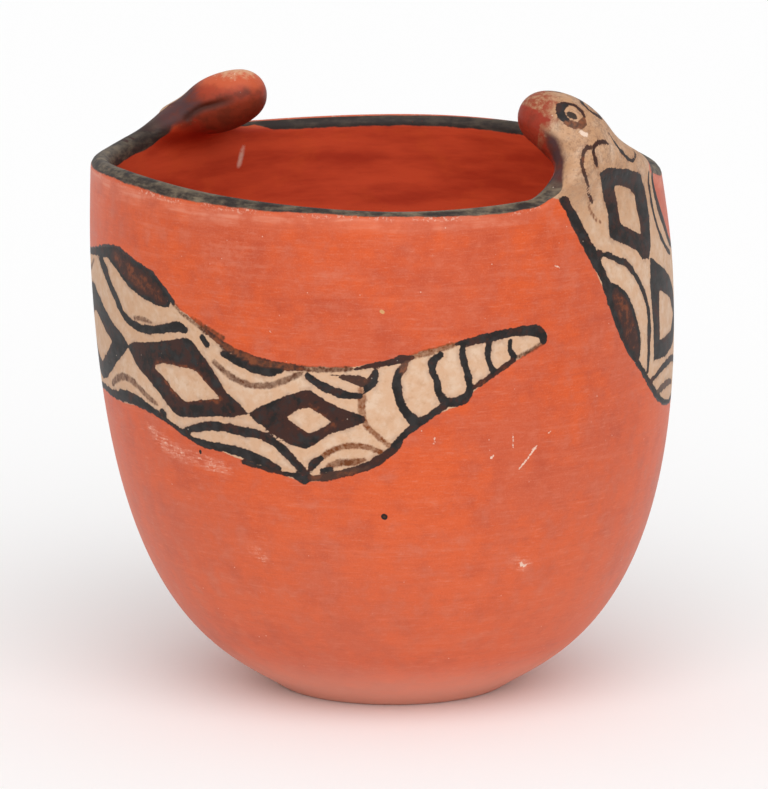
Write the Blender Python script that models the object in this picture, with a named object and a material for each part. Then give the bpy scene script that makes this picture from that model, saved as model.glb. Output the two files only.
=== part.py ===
"""A hand-built clay jar with two snake heads drawn up from its rim. Metres, +Z up.

The origin is on the ground, under the middle of the jar. +X is the viewer's right and -Y faces the viewer.
The jar is one closed loft. Each column of it runs from the middle of the foot up the outside, over the lip
and down the inside to the middle of the floor. The lip line climbs round each head, and the rows near it are
settled onto the clay's rounded surface: the wall, melted together with a chain of ellipsoids for each head.
"""

import math

import bmesh
import bpy
import numpy as np

MM = 0.001

# The body
BODY_RADIUS = 75.0 * MM  # outside, at the widest ring
WIDEST_HEIGHT = 108.0 * MM  # of that ring above the ground
RIM_RISE = 29.4 * MM  # from the widest ring up to the plain rim
MOUTH_RADIUS = 73.2 * MM  # outside, at the rim
FOOT_RADIUS = 30.3 * MM  # of the flat underside
RIM_LEAN = math.radians(5.0)  # how far the wall leans in at the rim
WALL = 5.4 * MM  # thickness at the rim and belly
FLOOR = 8.0 * MM  # thickness in the middle of the foot
FOOT_EDGE = 1.2 * MM  # how far the foot's worn edge is rounded to each side
FOOT_SHIFT = 4.4 * MM  # the foot sits this far to the right of the mouth

# The rim's unevenness: where each wave stands round the jar, its rise and how far it reaches to each side, with
# the angles in degrees. They are at the right, the front left, the front and the back.
RIM_WAVES = (
    {"angle": 12.0, "rise": -1.7 * MM, "reach": 34.0},
    {"angle": 207.0, "rise": 2.0 * MM, "reach": 26.0},
    {"angle": -82.0, "rise": -2.1 * MM, "reach": 30.0},
    {"angle": 75.0, "rise": 0.7 * MM, "reach": 25.0},
)
WAVE_DEPTH = 6  # how little of the wall below the rim follows them, as a power

# The handles of the wall's curve, as shares of the run and the rise between foot and widest ring
FOOT_HANDLE = (0.225, 0.080)
BELLY_HANDLE = 0.128
FLOOR_BLEND = 3  # how soon the wall thins from the floor's thickness to its own, as a power

# Both snake heads
HEAD_WIDTH = 15.0 * MM  # at the eyes
HEAD_THICKNESS = 13.2 * MM
SNOUT_WIDTH = 10.8 * MM
SNOUT_THICKNESS = 11.4 * MM
NECK_RISE = 16.0 * MM  # how far up a neck reaches its full thickness
MELT = 6.0 * MM  # over this distance a head flows into the wall
FLANK_EASE = 2.5 * MM  # rounds the corner where the plain rim starts to climb
FUSING = 0.9 * MM  # how softly the ellipsoids of one head run together
FUSING_SWELL = 0.6 * MM  # what that adds to a head's thickness, taken off again
FULL_WIDTH_AT = 0.45  # a head has its full width this share of its length behind the tip
SNOUT_FROM = 0.60  # and thins towards the snout from this share on
THROAT_AT = 0.52  # the throat's place and reach, as shares of the head's length
THROAT_REACH = 0.22

# Each head's pose. Angle 0 faces +X and 90 faces +Y. A neck's near side is the steep one, and it starts to
# spread at near_root from its middle; curls say how quickly each side narrows. The wall itself follows the lip
# line up a neck by climb. Under the bend, the throat is this much thicker than the rest of the neck.
FRONT_HEAD = {
    "root_angle": -40.0,
    "points_to": 168.0,
    "near_root": 22.0 * MM,
    "near_curl": 3.8,
    "far_root": 44.5 * MM,
    "far_curl": 2.8,
    "climb": 9.0 * MM,
    "length": 33.5 * MM,
    "bend_start": 8.5 * MM,
    "bend_radius": 13.3 * MM,
    "bend_angle": 82.0,
    "throat": 2.2 * MM,
}
BACK_HEAD = {
    "root_angle": 136.0,
    "points_to": -18.0,
    "near_root": 21.0 * MM,
    "near_curl": 6.4,
    "far_root": 41.3 * MM,
    "far_curl": 7.8,
    "climb": 5.8 * MM,
    "length": 29.4 * MM,
    "bend_start": -3.0 * MM,
    "bend_radius": 15.4 * MM,
    "bend_angle": 66.0,
    "throat": 1.0 * MM,
}

# How finely the loft is cut
COLUMNS = 96
HEAD_DENSITY = 3.0  # columns stand this much closer on the heads
BODY_ROWS = 11
RIM_ROWS = 13
SAMPLES = 240
PELLETS = 14  # ellipsoids to a head
PELLETS_FROM = 0.2  # the first one's place, as a share of the head's length
FOOT_CROWDING = 1.2  # rows gather towards the foot, as a power
RIM_CROWDING = 1.4  # and towards the lip
LIP_ROUNDING = 8  # how late a row turns in over the lip, as a power
EVENING = 0.09  # each column below the heads is evened over this share of them to each side
SETTLINGS = 24
SETTLING_STEP = 0.6  # of the way to the mean of the neighbours
ALONG_WEIGHT = 0.75  # of the neighbours up and down a column, in that mean
HEAD_REACH = 1.2  # a head's columns lie within this many far roots of its middle

RIM_HEIGHT = WIDEST_HEIGHT + RIM_RISE
RIM_ZONE = 0.6 * RIM_RISE  # the rows above this depth below the rim are the settled ones
WHOLE_TURN = 2 * math.pi * MOUTH_RADIUS
CLAY_RED = (0.62, 0.12, 0.05, 1.0)


def smooth_step(x):
    x = np.clip(x, 0.0, 1.0)
    return x * x * (3.0 - 2.0 * x)


def bezier(a, b, c, d):
    """Points of a cubic curve from a to d, with b and c as its handles."""
    t = np.linspace(0.0, 1.0, SAMPLES)[:, None]
    a, b, c, d = (np.array(p) for p in (a, b, c, d))
    return (1 - t) ** 3 * a + 3 * t * (1 - t) ** 2 * b + 3 * t * t * (1 - t) * c + t**3 * d


def running_length(points):
    return np.concatenate([[0.0], np.cumsum(np.linalg.norm(np.diff(points, axis=0), axis=1))])


def wall_curve():
    """The outside of the wall from foot to rim, as (radius, height) points."""
    run = BODY_RADIUS - FOOT_RADIUS
    lower = bezier(
        (FOOT_RADIUS, 0.0),
        (FOOT_RADIUS + FOOT_HANDLE[0] * run, FOOT_HANDLE[1] * WIDEST_HEIGHT),
        (BODY_RADIUS, BELLY_HANDLE * WIDEST_HEIGHT),
        (BODY_RADIUS, WIDEST_HEIGHT),
    )
    pull = RIM_RISE / 3
    upper = bezier(
        (BODY_RADIUS, WIDEST_HEIGHT),
        (BODY_RADIUS, WIDEST_HEIGHT + pull),
        (MOUTH_RADIUS + pull * math.tan(RIM_LEAN), RIM_HEIGHT - pull),
        (MOUTH_RADIUS, RIM_HEIGHT),
    )
    return np.concatenate([lower, upper[1:]])


def body_rows():
    """(radius, height, outward normal) of the rows from the foot's edge to the start of the rim zone."""
    curve = wall_curve()
    slope = np.gradient(curve, axis=0)
    slope /= np.linalg.norm(slope, axis=1)[:, None]
    length = running_length(curve)
    top = np.interp(RIM_HEIGHT - RIM_ZONE, curve[:, 1], length)
    at = FOOT_EDGE + (top - FOOT_EDGE) * np.linspace(0.0, 1.0, BODY_ROWS) ** FOOT_CROWDING
    r, z, sr, sz = (np.interp(at, length, v) for v in (curve[:, 0], curve[:, 1], slope[:, 0], slope[:, 1]))
    return list(zip(r, z, zip(sz, -sr)))


def wall_thickness(z):
    """Thick at the foot, and WALL from the belly up."""
    return WALL + (FLOOR - WALL) * np.clip(1.0 - z / WIDEST_HEIGHT, 0.0, 1.0) ** FLOOR_BLEND


def neck_sides(head, along):
    """How far a head's clay reaches to its near and far side, at a distance along it from the rim."""
    left = 1.0 - np.clip(along / head["length"], 0.0, 1.0)
    half = SNOUT_WIDTH / 2 + (HEAD_WIDTH - SNOUT_WIDTH) / 2 * smooth_step(left / FULL_WIDTH_AT)
    near = half + (head["near_root"] - HEAD_WIDTH / 2) * left ** head["near_curl"]
    far = half + (head["far_root"] - HEAD_WIDTH / 2) * left ** head["far_curl"]
    return near, far


def lip_line():
    """(distance round the rim, height above it) of COLUMNS points along the lip, closer on the heads."""
    line = []
    weight = []
    for head in (FRONT_HEAD, BACK_HEAD):
        along = head["length"] * np.linspace(0.0, 1.0, SAMPLES)
        near, far = neck_sides(head, along)
        tip = np.clip((along - head["length"]) / (SNOUT_WIDTH / 2) + 1.0, 0.0, 1.0)
        rounding = np.sqrt(1.0 - tip**2)
        root = math.radians(head["root_angle"]) * MOUTH_RADIUS
        near_side = np.stack([root - near * rounding, along], axis=1)
        far_side = np.stack([root + far * rounding, along], axis=1)[::-1]
        line.append(np.concatenate([near_side, far_side[1:]]))
        weight.append(1.0 + (HEAD_DENSITY - 1.0) * smooth_step(line[-1][:, 1] / head["climb"]))
    line = np.concatenate([*line, [line[0][0] + (WHOLE_TURN, 0.0)]])
    weight = np.concatenate([*weight, [1.0]])
    steps = np.linalg.norm(np.diff(line, axis=0), axis=1) * (weight[1:] + weight[:-1]) / 2
    length = np.concatenate([[0.0], np.cumsum(steps)])
    at = np.linspace(0.0, length[-1], COLUMNS, endpoint=False)
    return np.stack([np.interp(at, length, line[:, i]) for i in (0, 1)], axis=1)


def evened(around, share):
    """The columns' places lower down the wall: even at the foot (share 0), and gathered towards the heads'
    necks at the start of the rim zone (share 1)."""
    even = np.linspace(0.0, WHOLE_TURN, COLUMNS, endpoint=False)
    reach = max(1, round(EVENING * COLUMNS))
    drift = around - even
    wrapped = np.concatenate([drift[-2 * reach:], drift, drift[: 2 * reach]])
    window = np.convolve(np.ones(2 * reach + 1), np.ones(2 * reach + 1))
    softened = np.convolve(wrapped, window / window.sum(), mode="valid")
    return even + drift.mean() + share * (softened - drift.mean())


def spine(head, along):
    """Middle, side, upper and forward directions of a head's clay, at distances along it."""
    fine = np.linspace(0.0, head["length"], SAMPLES)
    turned = np.clip(fine - head["bend_start"], 0.0, math.radians(head["bend_angle"]) * head["bend_radius"])
    pitch = RIM_LEAN + turned / head["bend_radius"]
    inwards = head["root_angle"] + 180.0
    swing = (head["points_to"] - inwards + 180.0) % 360.0 - 180.0
    heading = np.radians(inwards + swing * smooth_step(fine / NECK_RISE))
    level = np.stack([np.cos(heading), np.sin(heading), 0.0 * fine], axis=1)
    up = np.array([0.0, 0.0, 1.0])
    forward = np.sin(pitch)[:, None] * level + np.cos(pitch)[:, None] * up
    upper = np.sin(pitch)[:, None] * up - np.cos(pitch)[:, None] * level
    side = np.cross(level, up)
    root = math.radians(head["root_angle"])
    radius = MOUTH_RADIUS - WALL / 2
    start = np.array([radius * math.cos(root), radius * math.sin(root), RIM_HEIGHT - WALL / 2])
    middle = start + np.cumsum(forward, axis=0) * (fine[1] - fine[0])
    return [
        np.stack([np.interp(along, fine, v[:, i]) for i in range(3)], axis=1)
        for v in (middle, side, upper, forward)
    ]


def turned_about_axis(vectors, angles):
    c, s = np.cos(angles), np.sin(angles)
    x, y, z = vectors.T
    return np.stack([c * x - s * y, s * x + c * y, z], axis=1)


def head_pellets(head):
    """Centres, axes and half sizes of the ellipsoids that make up one neck and head."""
    snout = SNOUT_THICKNESS / 2
    along = np.linspace(PELLETS_FROM * head["length"], head["length"] - snout, PELLETS)
    middle, side, upper, forward = spine(head, along)
    near, far = neck_sides(head, along)
    share = along / head["length"]
    offset = (far - near) / 2
    flattened = smooth_step(along / NECK_RISE)
    swing = offset / MOUTH_RADIUS * (1 - flattened)
    centres = turned_about_axis(middle, swing)
    side, upper, forward = (turned_about_axis(v, swing) for v in (side, upper, forward))
    throat = head["throat"] / 2 * np.exp(-(((share - THROAT_AT) / THROAT_REACH) ** 2))
    centres = centres + side * (offset * flattened)[:, None] - upper * throat[:, None]
    half_thickness = WALL / 2 + (HEAD_THICKNESS - WALL) / 2 * flattened + throat
    half_thickness -= (HEAD_THICKNESS - SNOUT_THICKNESS) / 2 * smooth_step((share - SNOUT_FROM) / (1 - SNOUT_FROM))
    reach = WALL / 2 + (snout - WALL / 2) * flattened
    halves = np.stack([(near + far) / 2, half_thickness, reach], axis=1)
    return centres, np.stack([side, upper, forward], axis=1), halves


def lip_height(around):
    """How far the wall itself climbs above the rim round the jar."""
    height = np.zeros(len(around))
    for head in (FRONT_HEAD, BACK_HEAD):
        root = math.radians(head["root_angle"]) * MOUTH_RADIUS
        across = (around - root + WHOLE_TURN / 2) % WHOLE_TURN - WHOLE_TURN / 2
        along = np.linspace(head["length"], 0.0, SAMPLES)
        near, far = neck_sides(head, along)
        climbed = np.where(across < 0, np.interp(-across, near, along), np.interp(across, far, along))
        beyond = np.where(across < 0, -across > near[-1], across > far[-1])
        climbed = np.where(beyond, 0.0, climbed)
        climbed = climbed**2 / (climbed + FLANK_EASE)
        height += head["climb"] * (1.0 - np.exp(-climbed / head["climb"]))
    return height


def clay_surface(points, pellets):
    """How far points are outside the clay near the rim; negative inside it."""
    curve = wall_curve()
    radius = np.hypot(points[:, 0], points[:, 1])
    around = np.arctan2(points[:, 1], points[:, 0]) * MOUTH_RADIUS
    top = RIM_HEIGHT - WALL / 2 + lip_height(around)
    level = np.minimum(points[:, 2], top)
    above_rim = np.maximum(level - RIM_HEIGHT, 0.0)
    middle = np.interp(level, curve[:, 1], curve[:, 0]) - WALL / 2 - above_rim * math.tan(RIM_LEAN)
    wall = np.hypot(radius - middle, points[:, 2] - level) - WALL / 2
    head = np.zeros(len(points))
    for centre, axes, half in zip(*pellets):
        local = (points - centre) @ axes.T
        scaled = np.linalg.norm(local / half, axis=1)
        slope = np.linalg.norm(local / half**2, axis=1)
        distance = scaled * (scaled - 1.0) / np.maximum(slope, 1e-6)
        head += np.exp(-np.clip(distance / FUSING, -30.0, 30.0))
    head = FUSING_SWELL - FUSING * np.log(head)
    near = np.maximum(MELT - np.abs(wall - head), 0.0) / MELT
    return np.minimum(wall, head) - near**2 * MELT / 4


def clay_slope(points, pellets):
    step = 0.05 * MM
    slope = np.stack(
        [
            (clay_surface(points + shift, pellets) - clay_surface(points - shift, pellets)) / (2 * step)
            for shift in np.eye(3) * step
        ],
        axis=1,
    )
    return slope / np.maximum(np.linalg.norm(slope, axis=1), 1e-6)[:, None]


def settle(rows, first, last):
    """Moves the rows between first and last onto the clay's surface and evens them out along it."""
    pellets = [np.concatenate(parts) for parts in zip(head_pellets(FRONT_HEAD), head_pellets(BACK_HEAD))]
    grid = np.stack(rows[first - 1 : last + 2])
    shape = grid[1:-1].shape
    for turn in range(SETTLINGS):
        inner = grid[1:-1]
        along = (grid[:-2] + grid[2:]) / 2
        across = (np.roll(inner, 1, axis=1) + np.roll(inner, -1, axis=1)) / 2
        mean = ALONG_WEIGHT * along + (1 - ALONG_WEIGHT) * across
        flat = inner.reshape(-1, 3)
        slope = clay_slope(flat, pellets)
        shift = SETTLING_STEP * (mean - inner)
        shift[len(inner) // 2] = 0.0
        shift = shift.reshape(-1, 3)
        shift -= slope * (shift * slope).sum(axis=1)[:, None]
        flat = flat + shift
        flat = flat - slope * np.clip(clay_surface(flat, pellets), -MM, MM)[:, None]
        grid[1:-1] = flat.reshape(shape)
    return [*rows[:first], *grid[1:-1], *rows[last + 1 :]]


def rim_zone_row(around, rise, inside):
    """A row between the body and the lip, before it settles. Inside runs from 1 on the lip to 0."""
    curve = wall_curve()
    below = np.minimum(rise, 0.0)
    height = RIM_HEIGHT + below - WALL / 2 * (1 + below / RIM_ZONE)
    radius = np.interp(height, curve[:, 1], curve[:, 0]) - WALL / 2
    angle = around / MOUTH_RADIUS
    outward = np.column_stack([np.cos(angle), np.sin(angle), 0.0 * angle])
    points = outward * radius[:, None] + np.array([0.0, 0.0, 1.0]) * height[:, None]
    normal = outward.copy()
    half = np.full(len(angle), WALL / 2)
    for head in (FRONT_HEAD, BACK_HEAD):
        root = math.radians(head["root_angle"]) * MOUTH_RADIUS
        across = (around - root + WHOLE_TURN / 2) % WHOLE_TURN - WHOLE_TURN / 2
        mine = (rise > 0) & (np.abs(across) < HEAD_REACH * head["far_root"])
        middle, side, upper, _ = spine(head, np.maximum(rise, 0.0))
        flattened = smooth_step(rise / NECK_RISE)[:, None]
        start, _, _, _ = spine(head, np.zeros(len(rise)))
        on_wall = points + middle - start
        on_head = middle + side * across[:, None]
        points = np.where(mine[:, None], (1 - flattened) * on_wall + flattened * on_head, points)
        normal = np.where(mine[:, None], (1 - flattened) * outward + flattened * upper, normal)
        swell = (HEAD_THICKNESS - WALL) / 2 * smooth_step(rise / NECK_RISE)
        half = np.where(mine, half + swell, half)
    rounding = np.sqrt(1.0 - inside**2)
    out = points + normal * (half * rounding)[:, None]
    back = points - normal * (half * rounding)[:, None]
    return out, back


def jar_rows():
    """Rings of points from the edge of the foot, up the outside, over the lip and down to the floor."""
    lip = lip_line()
    low = evened(lip[:, 0], 1.0)
    outside = []
    inside = []
    for radius, height, (normal_r, normal_z) in body_rows():
        angle = evened(lip[:, 0], smooth_step(height / (RIM_HEIGHT - RIM_ZONE))) / MOUTH_RADIUS
        ring = np.stack([np.cos(angle), np.sin(angle)], axis=1)
        thickness = wall_thickness(height)
        outside.append(np.column_stack([ring * radius, np.full(COLUMNS, height)]))
        inner_radius = radius - thickness * normal_r
        inside.append(np.column_stack([ring * inner_radius, np.full(COLUMNS, height - thickness * normal_z)]))
    settled_from = len(outside) + 1
    for step in range(1, RIM_ROWS):
        share = 1.0 - (1.0 - step / RIM_ROWS) ** RIM_CROWDING
        around = low + share * (lip[:, 0] - low)
        rise = -RIM_ZONE + share * (lip[:, 1] + RIM_ZONE)
        outer, inner = rim_zone_row(around, rise, share**LIP_ROUNDING)
        outside.append(outer)
        inside.append(inner)
    edge, _ = rim_zone_row(lip[:, 0], lip[:, 1], 1.0)
    outward = outside[0] / np.hypot(outside[0][:, 0], outside[0][:, 1])[:, None] * (1.0, 1.0, 0.0)
    foot_middle = outward * FOOT_RADIUS / 2
    floor_middle = foot_middle + (0.0, 0.0, FLOOR)
    rows = [foot_middle, outward * (FOOT_RADIUS - FOOT_EDGE), *outside, edge, *inside[::-1], floor_middle]
    return settle(rows, settled_from + 1, len(rows) - 1 - settled_from)


def shifted(points):
    """The rim waves, the mouth and the foot aren't quite over each other, and the whole stands centred."""
    share = np.clip(points[:, 2] / RIM_HEIGHT, 0.0, 1.0)
    rise = np.zeros(len(points))
    for wave in RIM_WAVES:
        around = np.degrees(np.arctan2(points[:, 1], points[:, 0])) - wave["angle"]
        around = (around + 180.0) % 360.0 - 180.0
        rise += wave["rise"] * np.exp(-((around / wave["reach"]) ** 2)) * share**WAVE_DEPTH
    points = points + np.column_stack([FOOT_SHIFT * (1.0 - share**2), np.zeros(len(points)), rise])
    middle = (points.min(axis=0) + points.max(axis=0)) / 2
    return points - (middle[0], middle[1], 0.0)


def jar_mesh():
    rows = jar_rows()
    points = shifted(np.concatenate([*rows, [[0.0, 0.0, 0.0], [0.0, 0.0, FLOOR]]]))
    mesh = bmesh.new()
    corners = [mesh.verts.new(p) for p in points]
    foot_centre, floor_centre = corners[-2:]
    last = (len(rows) - 1) * COLUMNS
    for column in range(COLUMNS):
        following = (column + 1) % COLUMNS
        mesh.faces.new((foot_centre, corners[following], corners[column]))
        mesh.faces.new((floor_centre, corners[last + column], corners[last + following]))
        for row in range(len(rows) - 1):
            low, high = row * COLUMNS, (row + 1) * COLUMNS
            square = (low + column, low + following, high + following, high + column)
            mesh.faces.new([corners[i] for i in square])
    bmesh.ops.recalc_face_normals(mesh, faces=mesh.faces)
    data = bpy.data.meshes.new("jar")
    mesh.to_mesh(data)
    mesh.free()
    data.shade_smooth()
    data.set_sharp_from_angle(angle=math.radians(30.0))
    return data


def clay():
    material = bpy.data.materials.new("red_clay")
    material.use_nodes = True
    shader = material.node_tree.nodes["Principled BSDF"]
    shader.inputs["Base Color"].default_value = CLAY_RED
    shader.inputs["Roughness"].default_value = 0.42
    shader.inputs["Metallic"].default_value = 0.0
    return material


def main():
    for old in list(bpy.data.objects):
        bpy.data.objects.remove(old)
    collection = bpy.data.collections.new("clay_jar")
    bpy.context.scene.collection.children.link(collection)
    jar = bpy.data.objects.new("jar", jar_mesh())
    jar.data.materials.append(clay())
    collection.objects.link(jar)


if __name__ == "__main__":
    main()
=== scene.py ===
import math

import bmesh
import bpy
import numpy as np
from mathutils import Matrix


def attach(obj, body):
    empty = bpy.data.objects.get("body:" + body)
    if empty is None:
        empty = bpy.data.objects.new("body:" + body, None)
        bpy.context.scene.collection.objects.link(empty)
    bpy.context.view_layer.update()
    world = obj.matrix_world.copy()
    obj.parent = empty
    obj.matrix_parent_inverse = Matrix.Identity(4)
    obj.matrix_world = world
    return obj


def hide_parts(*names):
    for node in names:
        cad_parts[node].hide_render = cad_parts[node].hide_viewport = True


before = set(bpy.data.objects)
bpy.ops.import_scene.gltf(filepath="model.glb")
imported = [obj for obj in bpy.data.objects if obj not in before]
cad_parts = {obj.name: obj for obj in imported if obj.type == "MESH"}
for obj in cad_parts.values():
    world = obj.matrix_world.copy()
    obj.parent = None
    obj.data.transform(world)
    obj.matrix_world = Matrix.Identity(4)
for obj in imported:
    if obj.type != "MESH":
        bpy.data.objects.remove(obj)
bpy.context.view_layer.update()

print("frame loaded")

# The jar's clay in millimetres and degrees; the mesh is turned to metres at the end
jar = {
    "bodyRadius": 75.0,
    "widestHeight": 108.0,
    "rimRise": 29.4,
    "mouthRadius": 73.2,
    "footRadius": 30.3,
    "rimLean": 5.0,
    "rimWaves": (
        {"angle": 12.0, "rise": -1.7, "reach": 34.0},
        {"angle": 207.0, "rise": 2.0, "reach": 26.0},
        {"angle": -82.0, "rise": -2.1, "reach": 30.0},
        {"angle": 75.0, "rise": 0.7, "reach": 25.0},
    ),
    "waveDepth": 6,
    "wall": 5.4,
    "floor": 8.0,
    "footEdge": 1.2,
    "footShift": 4.4,
    "footBend": (0.05, 0.22),
    "footHandle": (0.225, 0.080),
    "bellyHandle": 0.128,
    "floorBlend": 3,
}
head = {
    "width": 15.0,
    "thickness": 13.2,
    "snoutWidth": 10.8,
    "snoutThickness": 11.4,
    "neckRise": 16.0,
    "melt": 6.0,
    "flankEase": 2.5,
    "fusing": 0.9,
    "fusingSwell": 0.6,
    "fullWidthAt": 0.45,
    "snoutFrom": 0.60,
    "throatAt": 0.52,
    "throatReach": 0.22,
    "pellets": 14,
    "pelletsFrom": 0.2,
    "reach": 1.2,
}
frontHead = {
    "rootAngle": -40.0,
    "pointsTo": 168.0,
    "nearRoot": 22.0,
    "nearCurl": 3.8,
    "farRoot": 44.5,
    "farCurl": 2.8,
    "climb": 9.0,
    "length": 33.5,
    "bendStart": 8.5,
    "bendRadius": 13.3,
    "bendAngle": 82.0,
    "throat": 2.2,
}
backHead = {
    "rootAngle": 136.0,
    "pointsTo": -18.0,
    "nearRoot": 21.0,
    "nearCurl": 6.4,
    "farRoot": 41.3,
    "farCurl": 7.8,
    "climb": 5.8,
    "length": 29.4,
    "bendStart": -3.0,
    "bendRadius": 15.4,
    "bendAngle": 66.0,
    "throat": 1.0,
}
# How finely the clay is cut, first roughly to settle it and then closely enough for the painting
cut = {
    "settledColumns": 160,
    "columns": 420,
    "zoneRows": 24,
    "insideFineRows": 13,
    "headDensity": 3.0,
    "samples": 240,
    "settlings": 36,
    "settlingStep": 0.6,
    "alongWeight": 0.75,
    "evening": 0.09,
    "rimCrowding": 1.4,
    "lipRounding": 8,
    "paintFrom": 54.0,
    "paintSpacing": 1.2,
    "plainSpacing": 2.3,
    "headEdge": 0.85,
    "paintEdge": 0.75,
    "eyeEdge": 0.32,
    "markEdge": 0.4,
    "paintNear": 1.1,
    "eyeNear": (0.7, 0.35),
    "markNear": (0.7, 0.5),
    "headsFrom": 1.5,
}
# How the painting is laid on the clay
painting = {
    "curveStep": 0.9,
    "wobble": 0.12,
    "wobbleLength": 5.0,
    "nothing": -4.0,
    "shift": (0.25, -0.3),
    "shiftBlend": 5.0,
    "glowReach": 1.7,
    "spineSamples": 100,
    "spineMiddle": 40,
    "neckBlend": 12.0,
    "flankEnd": 5.0,
    "flankBlend": 4.0,
    "behindHead": 60.0,
    "headZone": (-45, 75),
    "tailEnd": 225,
    "overLip": 2.0,
    "besideHead": 60,
    "farFrom": -6.0,
    "farBlend": 5.0,
    "slipBlend": 3.0,
    "faceBlend": 14.0,
    "bandFadeFrom": 147.0,
    "bandFadeReach": 11.0,
    "mouthSide": 7,
    "insideFrom": -3.0,
    "creaseWidth": 0.5,
    "creaseNear": -2.5,
}

rimHeight = jar["widestHeight"] + jar["rimRise"]
rimZone = 0.6 * jar["rimRise"]
halfWall = jar["wall"] / 2
wholeTurn = 2 * math.pi * jar["mouthRadius"]
rimSlope = math.tan(math.radians(jar["rimLean"]))


def smoothStep(x):
    x = np.clip(x, 0.0, 1.0)
    return x * x * (3.0 - 2.0 * x)


def bezier(a, b, c, d):
    t = np.linspace(0.0, 1.0, cut["samples"])[:, None]
    a, b, c, d = (np.array(p) for p in (a, b, c, d))
    return (1 - t) ** 3 * a + 3 * t * (1 - t) ** 2 * b + 3 * t * t * (1 - t) * c + t**3 * d


def runningLength(points):
    return np.concatenate([[0.0], np.cumsum(np.linalg.norm(np.diff(points, axis=0), axis=1))])


def makeWallCurve():
    foot, body, widest = jar["footRadius"], jar["bodyRadius"], jar["widestHeight"]
    footHandle = (foot + jar["footHandle"][0] * (body - foot), jar["footHandle"][1] * widest)
    lower = bezier((foot, 0.0), footHandle, (body, jar["bellyHandle"] * widest), (body, widest))
    pull = jar["rimRise"] / 3
    rimHandle = (jar["mouthRadius"] + pull * rimSlope, rimHeight - pull)
    upper = bezier((body, widest), (body, widest + pull), rimHandle, (jar["mouthRadius"], rimHeight))
    return np.concatenate([lower, upper[1:]])


wallCurve = makeWallCurve()
wallLength = runningLength(wallCurve)
wallSlope = np.gradient(wallCurve, axis=0)
wallSlope /= np.linalg.norm(wallSlope, axis=1)[:, None]


# radius, height and outward normal of the wall at lengths along its curve
def wallAt(at):
    sides = (wallCurve[:, 0], wallCurve[:, 1], wallSlope[:, 0], wallSlope[:, 1])
    radius, height, slopeR, slopeZ = (np.interp(at, wallLength, v) for v in sides)
    return radius, height, slopeZ, -slopeR


def wallThickness(z):
    share = np.clip(1.0 - z / jar["widestHeight"], 0.0, 1.0)
    return jar["wall"] + (jar["floor"] - jar["wall"]) * share ** jar["floorBlend"]


# How far a head's clay reaches to its near and far side
def neckSides(snake, along):
    left = 1.0 - np.clip(along / snake["length"], 0.0, 1.0)
    widening = (head["width"] - head["snoutWidth"]) / 2
    half = head["snoutWidth"] / 2 + widening * smoothStep(left / head["fullWidthAt"])
    near = half + (snake["nearRoot"] - head["width"] / 2) * left ** snake["nearCurl"]
    far = half + (snake["farRoot"] - head["width"] / 2) * left ** snake["farCurl"]
    return near, far


def lipLine(columns):
    line = []
    weight = []
    for snake in (frontHead, backHead):
        along = snake["length"] * np.linspace(0.0, 1.0, cut["samples"])
        near, far = neckSides(snake, along)
        tip = np.clip((along - snake["length"]) / (head["snoutWidth"] / 2) + 1.0, 0.0, 1.0)
        rounding = np.sqrt(1.0 - tip**2)
        root = math.radians(snake["rootAngle"]) * jar["mouthRadius"]
        nearSide = np.stack([root - near * rounding, along], axis=1)
        farSide = np.stack([root + far * rounding, along], axis=1)[::-1]
        line.append(np.concatenate([nearSide, farSide[1:]]))
        weight.append(1.0 + (cut["headDensity"] - 1.0) * smoothStep(line[-1][:, 1] / snake["climb"]))
    line = np.concatenate([*line, [line[0][0] + (wholeTurn, 0.0)]])
    weight = np.concatenate([*weight, [1.0]])
    steps = np.linalg.norm(np.diff(line, axis=0), axis=1) * (weight[1:] + weight[:-1]) / 2
    length = np.concatenate([[0.0], np.cumsum(steps)])
    at = np.linspace(0.0, length[-1], columns, endpoint=False)
    return np.stack([np.interp(at, length, line[:, i]) for i in (0, 1)], axis=1)


# Columns stand evenly at the foot (share 0) and gather towards the heads below the rim (share 1)
def evened(around, share):
    columns = len(around)
    even = np.linspace(0.0, wholeTurn, columns, endpoint=False)
    reach = max(1, round(cut["evening"] * columns))
    drift = around - even
    wrapped = np.concatenate([drift[-2 * reach:], drift, drift[: 2 * reach]])
    window = np.convolve(np.ones(2 * reach + 1), np.ones(2 * reach + 1))
    softened = np.convolve(wrapped, window / window.sum(), mode="valid")
    return even + drift.mean() + share * (softened - drift.mean())


# Middle, side, upper and forward directions of a head's clay
def spine(snake, along):
    fine = np.linspace(0.0, snake["length"], cut["samples"])
    turned = np.clip(fine - snake["bendStart"], 0.0, math.radians(snake["bendAngle"]) * snake["bendRadius"])
    pitch = math.radians(jar["rimLean"]) + turned / snake["bendRadius"]
    inwards = snake["rootAngle"] + 180.0
    swing = (snake["pointsTo"] - inwards + 180.0) % 360.0 - 180.0
    heading = np.radians(inwards + swing * smoothStep(fine / head["neckRise"]))
    level = np.stack([np.cos(heading), np.sin(heading), 0.0 * fine], axis=1)
    up = np.array([0.0, 0.0, 1.0])
    forward = np.sin(pitch)[:, None] * level + np.cos(pitch)[:, None] * up
    upper = np.sin(pitch)[:, None] * up - np.cos(pitch)[:, None] * level
    side = np.cross(level, up)
    root = math.radians(snake["rootAngle"])
    radius = jar["mouthRadius"] - halfWall
    start = np.array([radius * math.cos(root), radius * math.sin(root), rimHeight - halfWall])
    middle = start + np.cumsum(forward, axis=0) * (fine[1] - fine[0])
    lines = (middle, side, upper, forward)
    return [np.stack([np.interp(along, fine, v[:, i]) for i in range(3)], axis=1) for v in lines]


def turnedAboutAxis(vectors, angles):
    c, s = np.cos(angles), np.sin(angles)
    x, y, z = vectors.T
    return np.stack([c * x - s * y, s * x + c * y, z], axis=1)


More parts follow.
